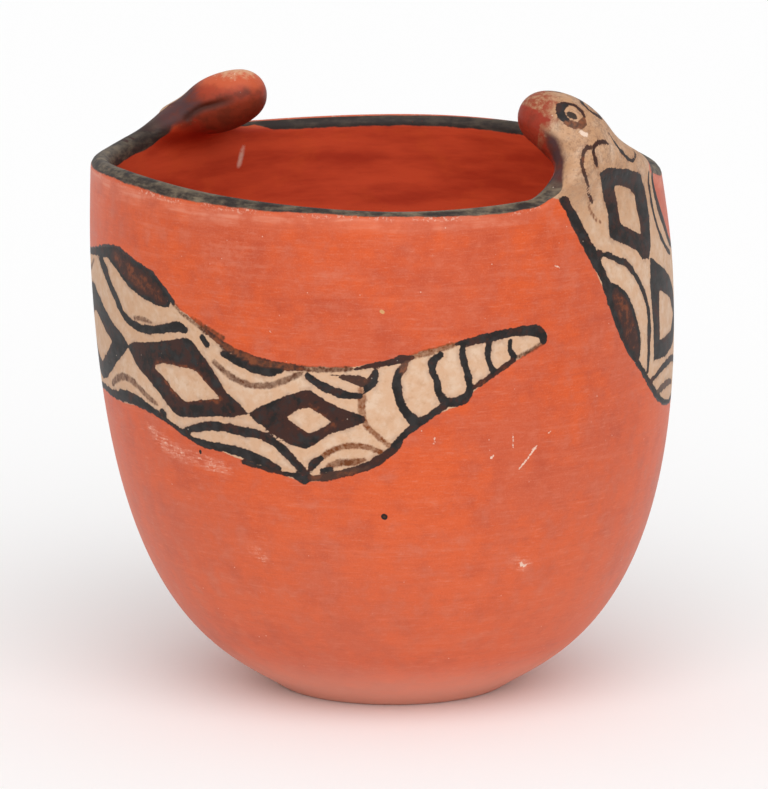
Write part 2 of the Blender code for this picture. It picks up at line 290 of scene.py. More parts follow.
def headPellets(snake):
    snout = head["snoutThickness"] / 2
    along = np.linspace(head["pelletsFrom"] * snake["length"], snake["length"] - snout, head["pellets"])
    middle, side, upper, forward = spine(snake, along)
    near, far = neckSides(snake, along)
    share = along / snake["length"]
    offset = (far - near) / 2
    flattened = smoothStep(along / head["neckRise"])
    swing = offset / jar["mouthRadius"] * (1 - flattened)
    centres = turnedAboutAxis(middle, swing)
    side, upper, forward = (turnedAboutAxis(v, swing) for v in (side, upper, forward))
    throat = snake["throat"] / 2 * np.exp(-(((share - head["throatAt"]) / head["throatReach"]) ** 2))
    centres = centres + side * (offset * flattened)[:, None] - upper * throat[:, None]
    halfThickness = halfWall + (head["thickness"] / 2 - halfWall) * flattened + throat
    thinning = smoothStep((share - head["snoutFrom"]) / (1 - head["snoutFrom"]))
    halfThickness -= (head["thickness"] - head["snoutThickness"]) / 2 * thinning
    reach = halfWall + (snout - halfWall) * flattened
    halves = np.stack([(near + far) / 2, halfThickness, reach], axis=1)
    return centres, np.stack([side, upper, forward], axis=1), halves


allPellets = [headPellets(snake) for snake in (frontHead, backHead)]


def acrossHead(snake, around):
    root = math.radians(snake["rootAngle"]) * jar["mouthRadius"]
    return (around - root + wholeTurn / 2) % wholeTurn - wholeTurn / 2


def makeLipHeights():
    around = np.linspace(-wholeTurn / 2, wholeTurn / 2, 4 * cut["columns"])
    height = np.zeros(len(around))
    for snake in (frontHead, backHead):
        across = acrossHead(snake, around)
        along = np.linspace(snake["length"], 0.0, cut["samples"])
        near, far = neckSides(snake, along)
        climbed = np.where(across < 0, np.interp(-across, near, along), np.interp(across, far, along))
        beyond = np.where(across < 0, -across > near[-1], across > far[-1])
        climbed = np.where(beyond, 0.0, climbed)
        climbed = climbed**2 / (climbed + head["flankEase"])
        height += snake["climb"] * (1.0 - np.exp(-climbed / snake["climb"]))
    return around, height


lipHeights = makeLipHeights()


# How far points are outside the clay near the rim: the wall, melted together with the heads' ellipsoids
def clayDistance(points):
    radius = np.hypot(points[:, 0], points[:, 1])
    around = np.arctan2(points[:, 1], points[:, 0]) * jar["mouthRadius"]
    top = rimHeight - halfWall + np.interp(around, *lipHeights)
    level = np.minimum(points[:, 2], top)
    middle = np.interp(level, wallCurve[:, 1], wallCurve[:, 0]) - halfWall
    middle -= np.maximum(level - rimHeight, 0.0) * rimSlope
    wall = np.hypot(radius - middle, points[:, 2] - level) - halfWall
    total = np.zeros(len(points))
    for centres, axes, halves in allPellets:
        reach = 2 * halves[0, 0] + head["width"]
        mine = np.nonzero(np.linalg.norm(points - centres.mean(axis=0), axis=1) < reach)[0]
        for centre, axis, half in zip(centres, axes, halves):
            local = (points[mine] - centre) @ axis.T
            scaled = np.linalg.norm(local / half, axis=1)
            slope = np.linalg.norm(local / half**2, axis=1)
            distance = scaled * (scaled - 1.0) / np.maximum(slope, 0.001)
            total[mine] += np.exp(-np.clip(distance / head["fusing"], -30.0, 30.0))
    heads = head["fusingSwell"] - head["fusing"] * np.log(total + 1e-13)
    meeting = np.maximum(head["melt"] - np.abs(wall - heads), 0.0) / head["melt"]
    return np.minimum(wall, heads) - meeting**2 * head["melt"] / 4


def claySlope(points):
    step = 0.05
    sides = np.eye(3) * step
    slope = np.stack([clayDistance(points + s) - clayDistance(points - s) for s in sides], axis=1)
    return slope / np.maximum(np.linalg.norm(slope, axis=1), 1e-9)[:, None]


def ontoClay(points, turns=3):
    for turn in range(turns):
        slope = claySlope(points)
        points = points - slope * np.clip(clayDistance(points), -1.0, 1.0)[:, None]
    return points


def zoneRow(around, rise, inside):
    below = np.minimum(rise, 0.0)
    height = rimHeight + below - halfWall * (1 + below / rimZone)
    radius = np.interp(height, wallCurve[:, 1], wallCurve[:, 0]) - halfWall
    angle = around / jar["mouthRadius"]
    outward = np.column_stack([np.cos(angle), np.sin(angle), 0.0 * angle])
    points = outward * radius[:, None] + np.array([0.0, 0.0, 1.0]) * height[:, None]
    normal = outward.copy()
    half = np.full(len(angle), halfWall)
    for snake in (frontHead, backHead):
        across = acrossHead(snake, around)
        mine = (rise > 0) & (np.abs(across) < head["reach"] * snake["farRoot"])
        middle, side, upper, _ = spine(snake, np.maximum(rise, 0.0))
        flattened = smoothStep(rise / head["neckRise"])[:, None]
        start, _, _, _ = spine(snake, np.zeros(len(rise)))
        onWall = points + middle - start
        onHead = middle + side * across[:, None]
        points = np.where(mine[:, None], (1 - flattened) * onWall + flattened * onHead, points)
        normal = np.where(mine[:, None], (1 - flattened) * outward + flattened * upper, normal)
        half = np.where(mine, half + (head["thickness"] / 2 - halfWall) * flattened[:, 0], half)
    rounding = (half * np.sqrt(1.0 - inside**2))[:, None]
    return points + normal * rounding, points - normal * rounding


# The rim zone, settled roughly: rows run from the outside over the lip to the inside
def settledZone():
    columns = cut["settledColumns"]
    lip = lipLine(columns)
    low = evened(lip[:, 0], 1.0)
    top = np.interp(rimHeight - rimZone, wallCurve[:, 1], wallLength)
    radius, height, normalR, normalZ = wallAt(top)
    ring = np.stack([np.cos(low / jar["mouthRadius"]), np.sin(low / jar["mouthRadius"])], axis=1)
    thick = wallThickness(height)
    outside = [np.column_stack([ring * radius, np.full(columns, height)])]
    innerHeight = height - thick * normalZ
    inside = [np.column_stack([ring * (radius - thick * normalR), np.full(columns, innerHeight)])]
    for step in range(1, cut["zoneRows"]):
        share = 1.0 - (1.0 - step / cut["zoneRows"]) ** cut["rimCrowding"]
        around = low + share * (lip[:, 0] - low)
        rise = -rimZone + share * (lip[:, 1] + rimZone)
        outer, inner = zoneRow(around, rise, share ** cut["lipRounding"])
        outside.append(outer)
        inside.append(inner)
    edge, _ = zoneRow(lip[:, 0], lip[:, 1], 1.0)
    grid = np.stack([*outside, edge, *inside[::-1]])
    for turn in range(cut["settlings"]):
        inner = grid[1:-1]
        along = (grid[:-2] + grid[2:]) / 2
        across = (np.roll(inner, 1, axis=1) + np.roll(inner, -1, axis=1)) / 2
        mean = cut["alongWeight"] * along + (1 - cut["alongWeight"]) * across
        flat = inner.reshape(-1, 3)
        slope = claySlope(flat)
        shift = cut["settlingStep"] * (mean - inner)
        shift[len(inner) // 2] = 0.0
        shift = shift.reshape(-1, 3)
        shift -= slope * (shift * slope).sum(axis=1)[:, None]
        flat = flat + shift
        flat = flat - slope * np.clip(clayDistance(flat), -1.0, 1.0)[:, None]
        grid[1:-1] = flat.reshape(inner.shape)
    return lip, grid


# The smooth curve through four values, between the second and the third
def curveBetween(a, b, c, d, t):
    bend = a - 2.5 * b + 2 * c - d / 2
    return b + t * ((c - a) / 2 + t * (bend + t * (1.5 * (b - c) + (d - a) / 2)))


# Values between those of a closed row
def roundRow(values, at):
    count = len(values)
    first = np.floor(at).astype(int)
    t = (at - first)[:, None] if values.ndim > 1 else at - first
    return curveBetween(*(values[(first + i) % count] for i in (-1, 0, 1, 2)), t)


def jarRows():
    lip, zone = settledZone()
    at = np.linspace(0.0, cut["settledColumns"], cut["columns"], endpoint=False)
    rows = [roundRow(row, at) for row in zone]
    rowShape = (len(rows) - 2, cut["columns"], 3)
    rows[1:-1] = list(ontoClay(np.concatenate(rows[1:-1])).reshape(rowShape))
    print("rim and heads settled")
    top = np.interp(rimHeight - rimZone, wallCurve[:, 1], wallLength)
    paintFrom = np.interp(cut["paintFrom"], wallCurve[:, 1], wallLength)
    plainRows = round((paintFrom - jar["footEdge"]) / cut["plainSpacing"])
    paintRows = round((top - paintFrom) / cut["paintSpacing"])
    plainAt = np.linspace(jar["footEdge"], paintFrom, plainRows, endpoint=False)
    paintAt = np.linspace(paintFrom, top, paintRows, endpoint=False)
    insideAt = np.linspace(jar["footEdge"], top, round(top / cut["plainSpacing"]), endpoint=False)[::-1]
    even = np.linspace(0.0, wholeTurn, cut["settledColumns"], endpoint=False)

    def ring(height, every):
        share = smoothStep(height / (rimHeight - rimZone))
        drift = evened(lip[:, 0], share) - even
        around = roundRow(drift, at) + np.linspace(0.0, wholeTurn, cut["columns"], endpoint=False)
        angle = around[::every] / jar["mouthRadius"]
        return np.stack([np.cos(angle), np.sin(angle)], axis=1)

    def wallRow(length, every, inner):
        radius, height, normalR, normalZ = wallAt(length)
        circle = ring(height, every)
        thick = wallThickness(height) if inner else 0.0
        low = height - thick * normalZ
        return np.column_stack([circle * (radius - thick * normalR), np.full(len(circle), low)])

    half = len(rows) // 2
    for row in range(half + cut["insideFineRows"], len(rows)):
        rows[row] = rows[row][::2]
    footRing = ring(0.0, 2)
    flat = np.zeros(len(footRing))
    footEdge = jar["footEdge"]
    footRadii = (jar["footRadius"] / 2, jar["footRadius"] - footEdge)
    foot = [np.column_stack([footRing * radius, flat]) for radius in footRadii]
    inwards, upwards = jar["footBend"]
    bendHeight = upwards * wallAt(footEdge)[1]
    bend = np.column_stack([footRing * (jar["footRadius"] - inwards * footEdge), flat + bendHeight])
    floorRow = np.column_stack([footRing * jar["footRadius"] / 2, flat + jar["floor"]])
    outside = [wallRow(v, 2, False) for v in plainAt] + [wallRow(v, 1, False) for v in paintAt]
    inside = [wallRow(v, 2, True) for v in insideAt]
    lipRow = len(foot) + 1 + len(outside) + half
    return [*foot, bend, *outside, *rows, *inside, floorRow], lipRow


# Joins two rings of corners with squares, or with triangles where one ring has half the other's columns
def joinRings(mesh, low, high):
    count = min(len(low), len(high))
    for i in range(count):
        j = (i + 1) % count
        if len(low) == len(high):
            mesh.faces.new((low[i], low[j], high[j], high[i]))
        elif len(low) < len(high):
            a, b, c = high[2 * i], high[2 * i + 1], high[(2 * i + 2) % len(high)]
            for face in ((low[i], low[j], b), (low[i], b, a), (low[j], c, b)):
                mesh.faces.new(face)
        else:
            a, b, c = low[2 * i], low[2 * i + 1], low[(2 * i + 2) % len(low)]
            for face in ((a, b, high[i]), (b, high[j], high[i]), (b, c, high[j])):
                mesh.faces.new(face)


def makeClay():
    rows, lipRow = jarRows()
    mesh = bmesh.new()
    lipLayer = mesh.verts.layers.float.new("fromLip")
    rings = [[mesh.verts.new(p) for p in row] for row in rows]
    counted = cut["columns"] // 2
    # the way from the lip along each column, above zero outside and below zero inside
    for direction, sign in ((-1, 1.0), (1, -1.0)):
        walked = np.zeros(counted)
        row = lipRow
        while 0 <= row + direction < len(rows):
            near = rows[row][:: len(rows[row]) // counted]
            row += direction
            far = rows[row][:: len(rows[row]) // counted]
            walked = walked + np.linalg.norm(far - near, axis=1)
            same = len(rows[row]) == counted
            spread = walked if same else roundRow(walked, np.arange(len(rows[row])) / 2)
            for corner, value in zip(rings[row], spread):
                corner[lipLayer] = sign * value
    for low, high in zip(rings[:-1], rings[1:]):
        joinRings(mesh, low, high)
    for ring, height in ((rings[0], 0.0), (rings[-1], jar["floor"])):
        centre = mesh.verts.new((0.0, 0.0, height))
        centre[lipLayer] = ring[0][lipLayer]
        for a, b in zip(ring, ring[1:] + ring[:1]):
            mesh.faces.new((centre, a, b))
    bmesh.ops.recalc_face_normals(mesh, faces=mesh.faces)
    print("clay made:", len(mesh.faces), "faces")
    return mesh


# The wall's own place: the mouth and the foot aren't over each other, and the rim dips
def placed(points):
    share = np.clip(points[:, 2] / rimHeight, 0.0, 1.0)
    rise = np.zeros(len(points))
    for wave in jar["rimWaves"]:
        around = np.degrees(np.arctan2(points[:, 1], points[:, 0])) - wave["angle"]
        around = (around + 180.0) % 360.0 - 180.0
        rise += wave["rise"] * np.exp(-((around / wave["reach"]) ** 2)) * share ** jar["waveDepth"]
    return points + np.column_stack([jar["footShift"] * (1.0 - share**2), np.zeros(len(points)), rise])


def coordinates(mesh):
    return np.array([v.co for v in mesh.verts])


perTurn = 2 * math.pi * jar["bodyRadius"]
bothSnakes = (frontHead, backHead)


# Where points lie for the painting: round and up the jar, or across, along and above a head's middle
def paintPlaces(points):
    around = np.arctan2(points[:, 1], points[:, 0]) * jar["bodyRadius"]
    high = points[:, 2].copy()
    lift = np.zeros(len(points))
    for snake in bothSnakes:
        fine = np.linspace(0.0, snake["length"], painting["spineSamples"])
        middle, side, upper, forward = spine(snake, fine)
        fromHead = np.linalg.norm(points - middle[painting["spineMiddle"]], axis=1)
        close = fromHead < snake["farRoot"] + head["width"]
        mine = np.nonzero(close & (points[:, 2] > rimHeight - halfWall))[0]
        apart = np.linalg.norm(points[mine][:, None] - middle[None], axis=2)
        nearest = np.argmin(apart, axis=1)
        away = points[mine] - middle[nearest]
        along = fine[nearest] + (away * forward[nearest]).sum(axis=1)
        across = (away * side[nearest]).sum(axis=1)
        near, far = neckSides(snake, np.clip(along, 0.0, snake["length"]))
        beyond = np.abs(across) - np.where(across < 0, near, far)
        share = smoothStep((painting["flankEnd"] - beyond) / painting["flankBlend"])
        share = smoothStep(along / painting["neckBlend"]) * share
        root = math.radians(snake["rootAngle"]) * jar["bodyRadius"]
        onWall = (around[mine] - root + perTurn / 2) % perTurn - perTurn / 2
        around[mine] = root + (1 - share) * onWall + share * across
        high[mine] = (1 - share) * high[mine] + share * (rimHeight + along)
        lift[mine] = share * (away * upper[nearest]).sum(axis=1)
    return around, high, lift


# Each snake's painting, as (round from its head, high): diamonds, arcs beside them and a rattle
upperEdge = [
    (27, 140), (31, 137), (32.5, 132), (35.5, 126.5), (39.5, 121.5), (44, 118), (51, 115.6), (60, 115),
    (70, 116.3), (80, 118), (92, 119.8), (100, 118.3), (110, 116), (115, 112), (120, 108.6), (129, 104),
    (137, 100), (145, 98.2), (155, 97.6), (166, 97.8), (178, 100.3), (190, 103.2), (202, 105.6),
    (215, 106.4),
]
lowerEdge = [
    (-15.5, 137), (-13, 132.5), (-10, 126), (-7, 120), (-2.7, 111), (1, 104.5), (4, 98.5), (8, 93.5),
    (15, 87.5), (22, 81), (30, 77.3), (38, 75.8), (48, 76.3), (60, 78.3), (72, 79.8), (85, 79.3),
    (100, 80), (110, 78.8), (120, 75), (130, 72.7), (140, 70.2), (149, 68), (153, 66.9), (160, 67.9),
    (170, 71), (176, 74.8), (180, 80), (188, 85.2), (194, 87.2), (198, 90.8), (205, 95.3), (213, 99.5),
    (218, 101.5), (219, 104),
]
diamonds = {
    "neck": {
        "outer": [
            (-4.8, 143.8), (-2.1, 144.7), (-0.7, 144.9), (4.2, 143.6), (9.5, 142.6), (16.9, 140.4),
            (20, 139), (22.4, 135.4), (23.1, 131.9), (23, 126.3), (21.6, 119.9), (19.8, 117.1),
            (15.6, 117.6), (12.8, 120.4), (6.9, 122.9), (1.2, 125.3), (1.5, 128.3), (1.8, 130.9),
            (1.1, 134.3), (-1.5, 139.3),
        ],
        "inner": [
            (4.9, 138.1), (8.3, 137.5), (13.1, 136.1), (15.7, 134), (15.6, 130.7), (16.5, 127.3),
            (16.5, 123.8), (12.4, 125.6), (6.9, 127.8), (6.5, 130.3), (6.3, 134.2),
        ],
        "tone": 0.15,
        "glow": 0.35,
    },
    "shoulder": {
        "outer": [
            (20.5, 117.6), (27, 114.6), (36, 110.5), (44, 104.5), (50.5, 97.5), (42, 91.5), (30, 89.9),
            (20.8, 90.6), (20.4, 100), (19.2, 110),
        ],
        "inner": [
            (25.6, 108), (30, 106.6), (36, 104.4), (42, 99), (37, 95.6), (30, 95), (25.2, 95.3),
            (25, 101),
        ],
        "tone": 0.1,
        "glow": 0.3,
    },
    "side": {
        "outer": [
            (49, 97), (57, 103.5), (65, 106.7), (72, 107.3), (80, 104), (88, 99.9), (93.8, 97.9),
            (97.3, 95.3), (91, 91.3), (84, 87), (78, 83.9), (72, 82.6), (64, 84), (56, 89),
        ],
        "inner": [
            (60, 95.5), (66, 99.2), (72, 100.4), (78, 98.6), (86.4, 94.7), (80, 90.5), (74, 87.6),
            (67, 89.5),
        ],
        "tone": 0.1,
        "glow": 0.4,
    },
    "belly": {
        "outer": [
            (96.3, 95.6), (102, 97.4), (110, 98.7), (120, 101), (122.3, 101.4), (124.3, 100),
            (129, 94.5), (133, 89), (137, 86), (139, 83.9), (134, 82.5), (128, 82), (122, 81),
            (117, 80.4), (114.3, 81.2), (110, 85), (105.5, 88.2), (101, 90.6),
        ],
        "inner": [
            (108.7, 91.8), (109.6, 93), (114, 93.6), (123.7, 93.3), (127.4, 90), (131.2, 86.9),
            (127, 86.3), (119.2, 84.8), (116, 86.5), (112.5, 89.6),
        ],
        "tone": 0.25,
        "glow": 0.75,
    },
    "tail": {
        "outer": [
            (138.8, 83.8), (142, 86), (147, 88.4), (154, 91), (156.3, 91.4), (160, 89), (164, 87),
            (169.8, 85.2), (169.8, 83.4), (163, 81), (160, 80), (157, 77.4), (154, 75.8), (150, 77),
            (146, 79), (142, 81.5),
        ],
        "inner": [
            (149.7, 83.8), (152, 85.7), (155.8, 86.9), (161.4, 83.4), (158.5, 81.5), (155.5, 80.1),
            (152, 82),
        ],
        "tone": 0.35,
        "glow": 0.35,
    },
}
patches = {
    "underNeck": {
        "shape": [
            (0, 114), (3, 113), (6, 110.8), (9, 107), (11, 103), (12.5, 99), (12.8, 95), (12, 92.6),
            (7, 94.6), (3.5, 99.5), (0.5, 106), (-2, 110.5),
        ],
        "tone": 0.75,
    },
    "shoulder": {
        "shape": [
            (86, 116.2), (91, 114.6), (95, 112.7), (100, 110.5), (105, 109), (113, 107.7),
            (116.2, 108.2), (117, 110), (114.5, 112.4), (110, 115.6), (100, 117.9), (93, 119.3),
            (86, 118.6),
        ],
        "tone": 0.85,
    },
}
# Brush strokes as (round, high, half width), with how red-brown and how thin they are
strokes = {
    "nearOutline": {
        "path": [
            (-14, 137, 1.3), (-11, 131.5, 1.6), (-8.5, 126.5, 1.7), (-5.5, 121, 1.8), (-3, 116.3, 1.4),
            (-0.7, 111, 1.7), (2.5, 103.5, 1.6), (5.3, 98, 1.2), (9, 93.6, 1), (13, 90, 0.9),
            (17.5, 85.7, 1), (24, 80.9, 1), (31, 77.9, 0.8), (40, 76.5, 0.8), (50, 77.5, 0.8),
            (60, 79, 0.8), (72, 80.7, 0.9), (84, 80.7, 1.1), (92, 81.8, 1.6), (99, 81.6, 1.5),
            (105, 80.5, 1.1), (112, 78.4, 0.7), (120, 75.4, 0.8), (125, 74.4, 1.1), (132, 74.1, 1.2),
            (139, 72.9, 1.4), (144, 71.1, 1.2), (146.3, 70.3, 0.9),
        ],
        "tone": 0.1,
    },
    "farOutline": {
        "path": [
            (46, 116.8, 0.9), (52, 115, 0.9), (60, 114.2, 0.9), (70, 115.2, 1), (77, 116.3, 1.2),
            (86, 117.6, 1.6), (94, 118.7, 1.2), (102, 117, 1), (110, 115, 1.1), (115, 111.3, 1.1),
            (117.5, 109.8, 0.7),
        ],
        "tone": 0.2,
    },
    "farOutlineOnNeck": {
        "path": [
            (30, 138.3, 0.9), (30.4, 133.5, 1.2), (32.5, 128.5, 1.5), (36.3, 123.6, 1.5),
            (41, 118.9, 1.2), (46, 116.8, 0.9),
        ],
        "tone": 0.2,
    },
    "innerNeckLine": {
        "path": [
            (26.6, 138.8, 0.6), (26.3, 134, 0.8), (26.6, 129.5, 0.8), (28.4, 124.5, 0.8),
            (32, 120.2, 0.8), (37, 116.8, 0.8), (42, 115, 0.6),
        ],
        "tone": 0.2,
    },
    "underBelly": {
        "path": [(135.5, 71.2, 0.6), (140, 70.5, 0.6), (146, 69.4, 0.6), (150.5, 69, 0.7)],
        "tone": 0.3,
    },
    "bellyKnot": {"path": [(151, 68.8, 1), (153, 68.3, 1.5), (154.3, 68.8, 1)], "tone": 0.0},
    "tailOutline": {
        "path": [
            (167.5, 71.3, 1), (171.8, 73.1, 1.1), (174.2, 74.7, 1.1), (176.4, 76.4, 1), (178, 78.1, 0.9),
        ],
        "tone": 0.4,
    },
    "tailSmear": {
        "path": [
            (154.5, 68.3, 0.7), (158.8, 69, 1.1), (162.7, 69.9, 1.1), (166.4, 70.9, 1.1),
            (170.4, 72.3, 1),
        ],
        "tone": 0.6,
        "thin": 0.06,
    },
    "underRattle": {
        "path": [
            (177, 77.6, 1), (180, 80.8, 0.9), (183.5, 83.4, 1), (187, 85.8, 0.9), (190.5, 87.8, 0.9),
        ],
        "tone": 0.2,
    },
    "neckArc": {
        "path": [
            (-3.5, 122, 0.9), (0, 121, 0.8), (4, 119.1, 0.8), (7, 118, 0.9), (10.2, 115.2, 0.8),
            (13, 112, 0.8), (15.7, 108.2, 0.9), (17.4, 104, 1), (17.8, 99.5, 1.1), (17.4, 94, 0.9),
            (17, 88.3, 0.6),
        ],
        "tone": 0.2,
    },
    "underShoulder": {
        "path": [
            (18.3, 85.3, 0.7), (22, 86.2, 0.7), (27, 87.3, 0.9), (33, 87.9, 1), (41, 87.6, 0.9),
            (50, 85, 0.7),
        ],
        "tone": 0.2,
    },
    "bottomSmear": {
        "path": [(24, 81.6, 0.8), (29, 82.2, 1.1), (35, 82.3, 0.9), (42, 81, 0.6)],
        "tone": 0.3,
        "thin": 0.2,
    },
    "shoulderArc": {
        "path": [
            (80.5, 115, 1.1), (84.3, 112.9, 1.7), (88, 109.4, 1.2), (91, 107.2, 1.3), (94.2, 104, 1.1),
            (98.5, 101.9, 1.1), (104, 101.1, 1.15), (111, 101.8, 1.05), (116, 103.1, 1.2),
            (119.4, 103.8, 1.5), (121.2, 103.2, 0.9),
        ],
        "tone": 0.05,
    },
    "shoulderDash": {"path": [(126.8, 101.9, 0.9), (128.2, 100.4, 1)], "tone": 0.0},
    "bellyDot": {"path": [(109.6, 80.9, 0.8), (110.6, 80.2, 0.9)], "tone": 0.0},
    "upperBellyArc": {
        "path": [
            (133.2, 98.6, 1), (137.5, 97, 1.2), (142, 95.7, 1.2), (146, 95.2, 1.1), (149, 95.9, 0.8),
        ],
        "tone": 0.0,
    },
    "upperBellyEdge": {
        "path": [
            (128, 104, 0.5), (132, 101.6, 0.8), (137, 99.3, 1.1), (143, 97.6, 1.2), (149, 97, 1),
            (154.5, 96.8, 0.7),
        ],
        "tone": 0.9,
        "thin": 0.05,
    },
    "lowerBellyArc": {
        "path": [
            (117.3, 76.8, 0.6), (121, 77.9, 0.9), (126, 79.3, 1.2), (131, 79.7, 1.25), (136, 79.2, 1.25),
            (141, 78.9, 1.2), (145, 77.6, 1.2), (148.3, 75.2, 1.2), (151.2, 72.2, 1.1), (153.6, 69.6, 1),
        ],
        "tone": 0.15,
    },
    "tailHook": {"path": [(155.1, 71, 0.8), (156.1, 72.4, 1), (158, 73.9, 0.8)], "tone": 0.1},
    "tailDab": {"path": [(158, 70.6, 0.6), (160.3, 71.1, 0.7)], "tone": 0.1},
    "lowerTailArc": {
        "path": [
            (156, 95, 0.9), (158.3, 93.2, 1.1), (161.5, 91.6, 1.15), (165, 90.5, 1.1),
            (168.8, 90.3, 0.8),
        ],
        "tone": 0.15,
    },
    "upperTailArc": {
        "path": [(161.5, 95.6, 0.25), (165.8, 94.8, 0.8), (168.3, 94.3, 1.3), (170, 93.8, 1.3)],
        "tone": 0.55,
        "thin": 0.05,
    },
    "tailKnot": {
        "path": [(173, 96.6, 0.8), (172.3, 94.5, 1.25), (171, 92.9, 1.2), (170.3, 91.6, 0.7)],
        "tone": 0.05,
    },
    "overTail": {
        "path": [
            (167.8, 97.2, 0.4), (173, 98.4, 0.65), (176.6, 98.9, 0.8), (179.4, 99.8, 1),
            (182.3, 100.3, 0.7),
        ],
        "tone": 0.45,
    },
    "overRattle": {
        "path": [
            (193.4, 103.3, 0.5), (195.5, 103.5, 0.9), (198.2, 103.9, 1), (202, 104.6, 1.15),
            (205.8, 105, 1.2), (209.7, 105.3, 1.25), (213.8, 105.1, 1.45), (216.4, 104.3, 1.5),
            (217.2, 103.1, 1.3), (217.1, 102.3, 1.1),
        ],
        "tone": 0.2,
    },
    "firstBandTop": {
        "path": [(180.6, 98.9, 0.6), (180, 97.9, 0.9), (179.2, 96.6, 0.9)],
        "tone": 1,
        "thin": 0.15,
    },
    "firstBand": {
        "path": [
            (179, 96.8, 0.8), (178.5, 95.5, 1), (178, 93.5, 1.1), (178.4, 90, 1.15), (179.6, 86.8, 1.2),
            (181.9, 83.9, 1.5),
        ],
        "tone": 0.05,
    },
    "secondBand": {
        "path": [
            (189.3, 100.7, 0.9), (187.4, 99.2, 1.1), (187.1, 96.8, 0.9), (188.1, 94, 0.9),
            (188.4, 91.3, 1), (189.7, 89, 1.1), (191.5, 88.3, 1.2), (194.3, 88.8, 1.3), (196.2, 90.5, 1),
            (196.4, 93, 1), (195.7, 96.8, 0.9), (195, 99.8, 0.9), (194.9, 102.4, 0.8),
        ],
        "tone": 0.0,
    },
    "thirdBand": {
        "path": [(202, 103.8, 0.9), (201.5, 101.2, 0.8), (201.6, 98.3, 0.7), (202.9, 95.7, 0.9)],
        "tone": 0.0,
    },
    "fourthBand": {"path": [(207.6, 103, 0.7), (207.5, 100.6, 0.7), (208.6, 98.9, 0.9)], "tone": 0.0},
    "rattleEdge": {
        "path": [(197, 91.6, 0.6), (200, 93.2, 0.7), (204, 95.6, 0.7), (208.5, 98.2, 0.7)],
        "tone": 0.6,
    },
}
# Thin brown paint, laid before the black
faintStrokes = {
    "shoulderEdge": {
        "path": [(117, 110, 0.7), (120, 107.6, 0.6), (124, 105.6, 0.6), (128, 103.6, 0.7)],
        "thin": 0.35,
    },
    "shoulderArcAbove": {"path": [(101, 103.3, 0.5), (105, 103.6, 0.7), (109, 103.2, 0.4)], "thin": 0.55},
    "bellyArc": {
        "path": [
            (130, 96.2, 0.8), (133.5, 93.8, 0.9), (137, 92.2, 0.9), (141, 91.4, 0.9), (146, 91.9, 0.9),
            (150, 93.5, 0.9), (154, 95.4, 0.7),
        ],
        "thin": 0.5,
    },
    "lowSideArc": {
        "path": [
            (83, 83.4, 0.8), (87, 85.3, 1), (92, 86.8, 1), (97, 86.6, 1), (101, 85.1, 0.9),
            (105, 83.4, 0.9), (108, 82.4, 0.6),
        ],
        "thin": 0.4,
    },
    "farSideArc": {
        "path": [(50, 110.5, 0.7), (58, 109, 0.8), (66, 110.5, 0.8), (73, 113.5, 0.5)],
        "thin": 0.4,
    },
    "tailNeck": {
        "path": [
            (169.2, 92, 1), (169.3, 89.4, 1.1), (169, 87.2, 1.1), (169.4, 84.3, 0.9), (170.5, 82.1, 0.8),
            (172.2, 80.5, 0.75), (174, 78.8, 0.75), (175.7, 77.5, 0.7),
        ],
        "thin": 0.3,
        "tone": 1,
    },
    "tailArc": {
        "path": [
            (158.5, 74.2, 0.8), (161.2, 76.1, 0.8), (164.9, 77.3, 0.85), (167.8, 77.4, 0.85),
            (170.7, 76.9, 0.8), (173.5, 75.7, 0.8),
        ],
        "thin": 0.1,
        "tone": 0.8,
    },
    "tailPatch": {
        "path": [(159.8, 71.8, 0.8), (162.8, 72.9, 1), (166.1, 73.1, 1), (169.1, 73.8, 0.7)],
        "thin": 0.2,
        "tone": 0.6,
    },
    "overTailEdge": {"path": [(153, 96.9, 0.8), (160, 96.7, 0.8), (167, 97.2, 0.7)], "thin": 0.1},
    "rattleTop": {
        "path": [(182, 100.4, 0.7), (187, 101.6, 0.9), (192, 102.9, 0.8)],
        "thin": 0.3,
        "tone": 0.7,
    },
    "rattleTip": {"path": [(208, 98.2, 0.6), (213, 100, 0.6), (217, 101.7, 0.6)], "thin": 0.1},
    "cheekSmear": {
        "path": [(-5.4, 134.7, 0.5), (-4.8, 132.4, 0.6), (-3.1, 130.5, 0.6), (-1.2, 129.2, 0.4)],
        "thin": 0.5,
        "tone": 0.7,
    },
    "rattleTopBrown": {
        "path": [(184, 100.6, 0.5), (189, 101.9, 0.6), (193.4, 103.3, 0.6)],
        "thin": 0.2,
        "tone": 0.6,
    },
    "upperBellyShade": {
        "path": [(124, 106.6, 0.4), (128, 104.6, 0.9), (133, 102.6, 0.9)],
        "thin": 0.3,
        "tone": 0.2,
    },
}
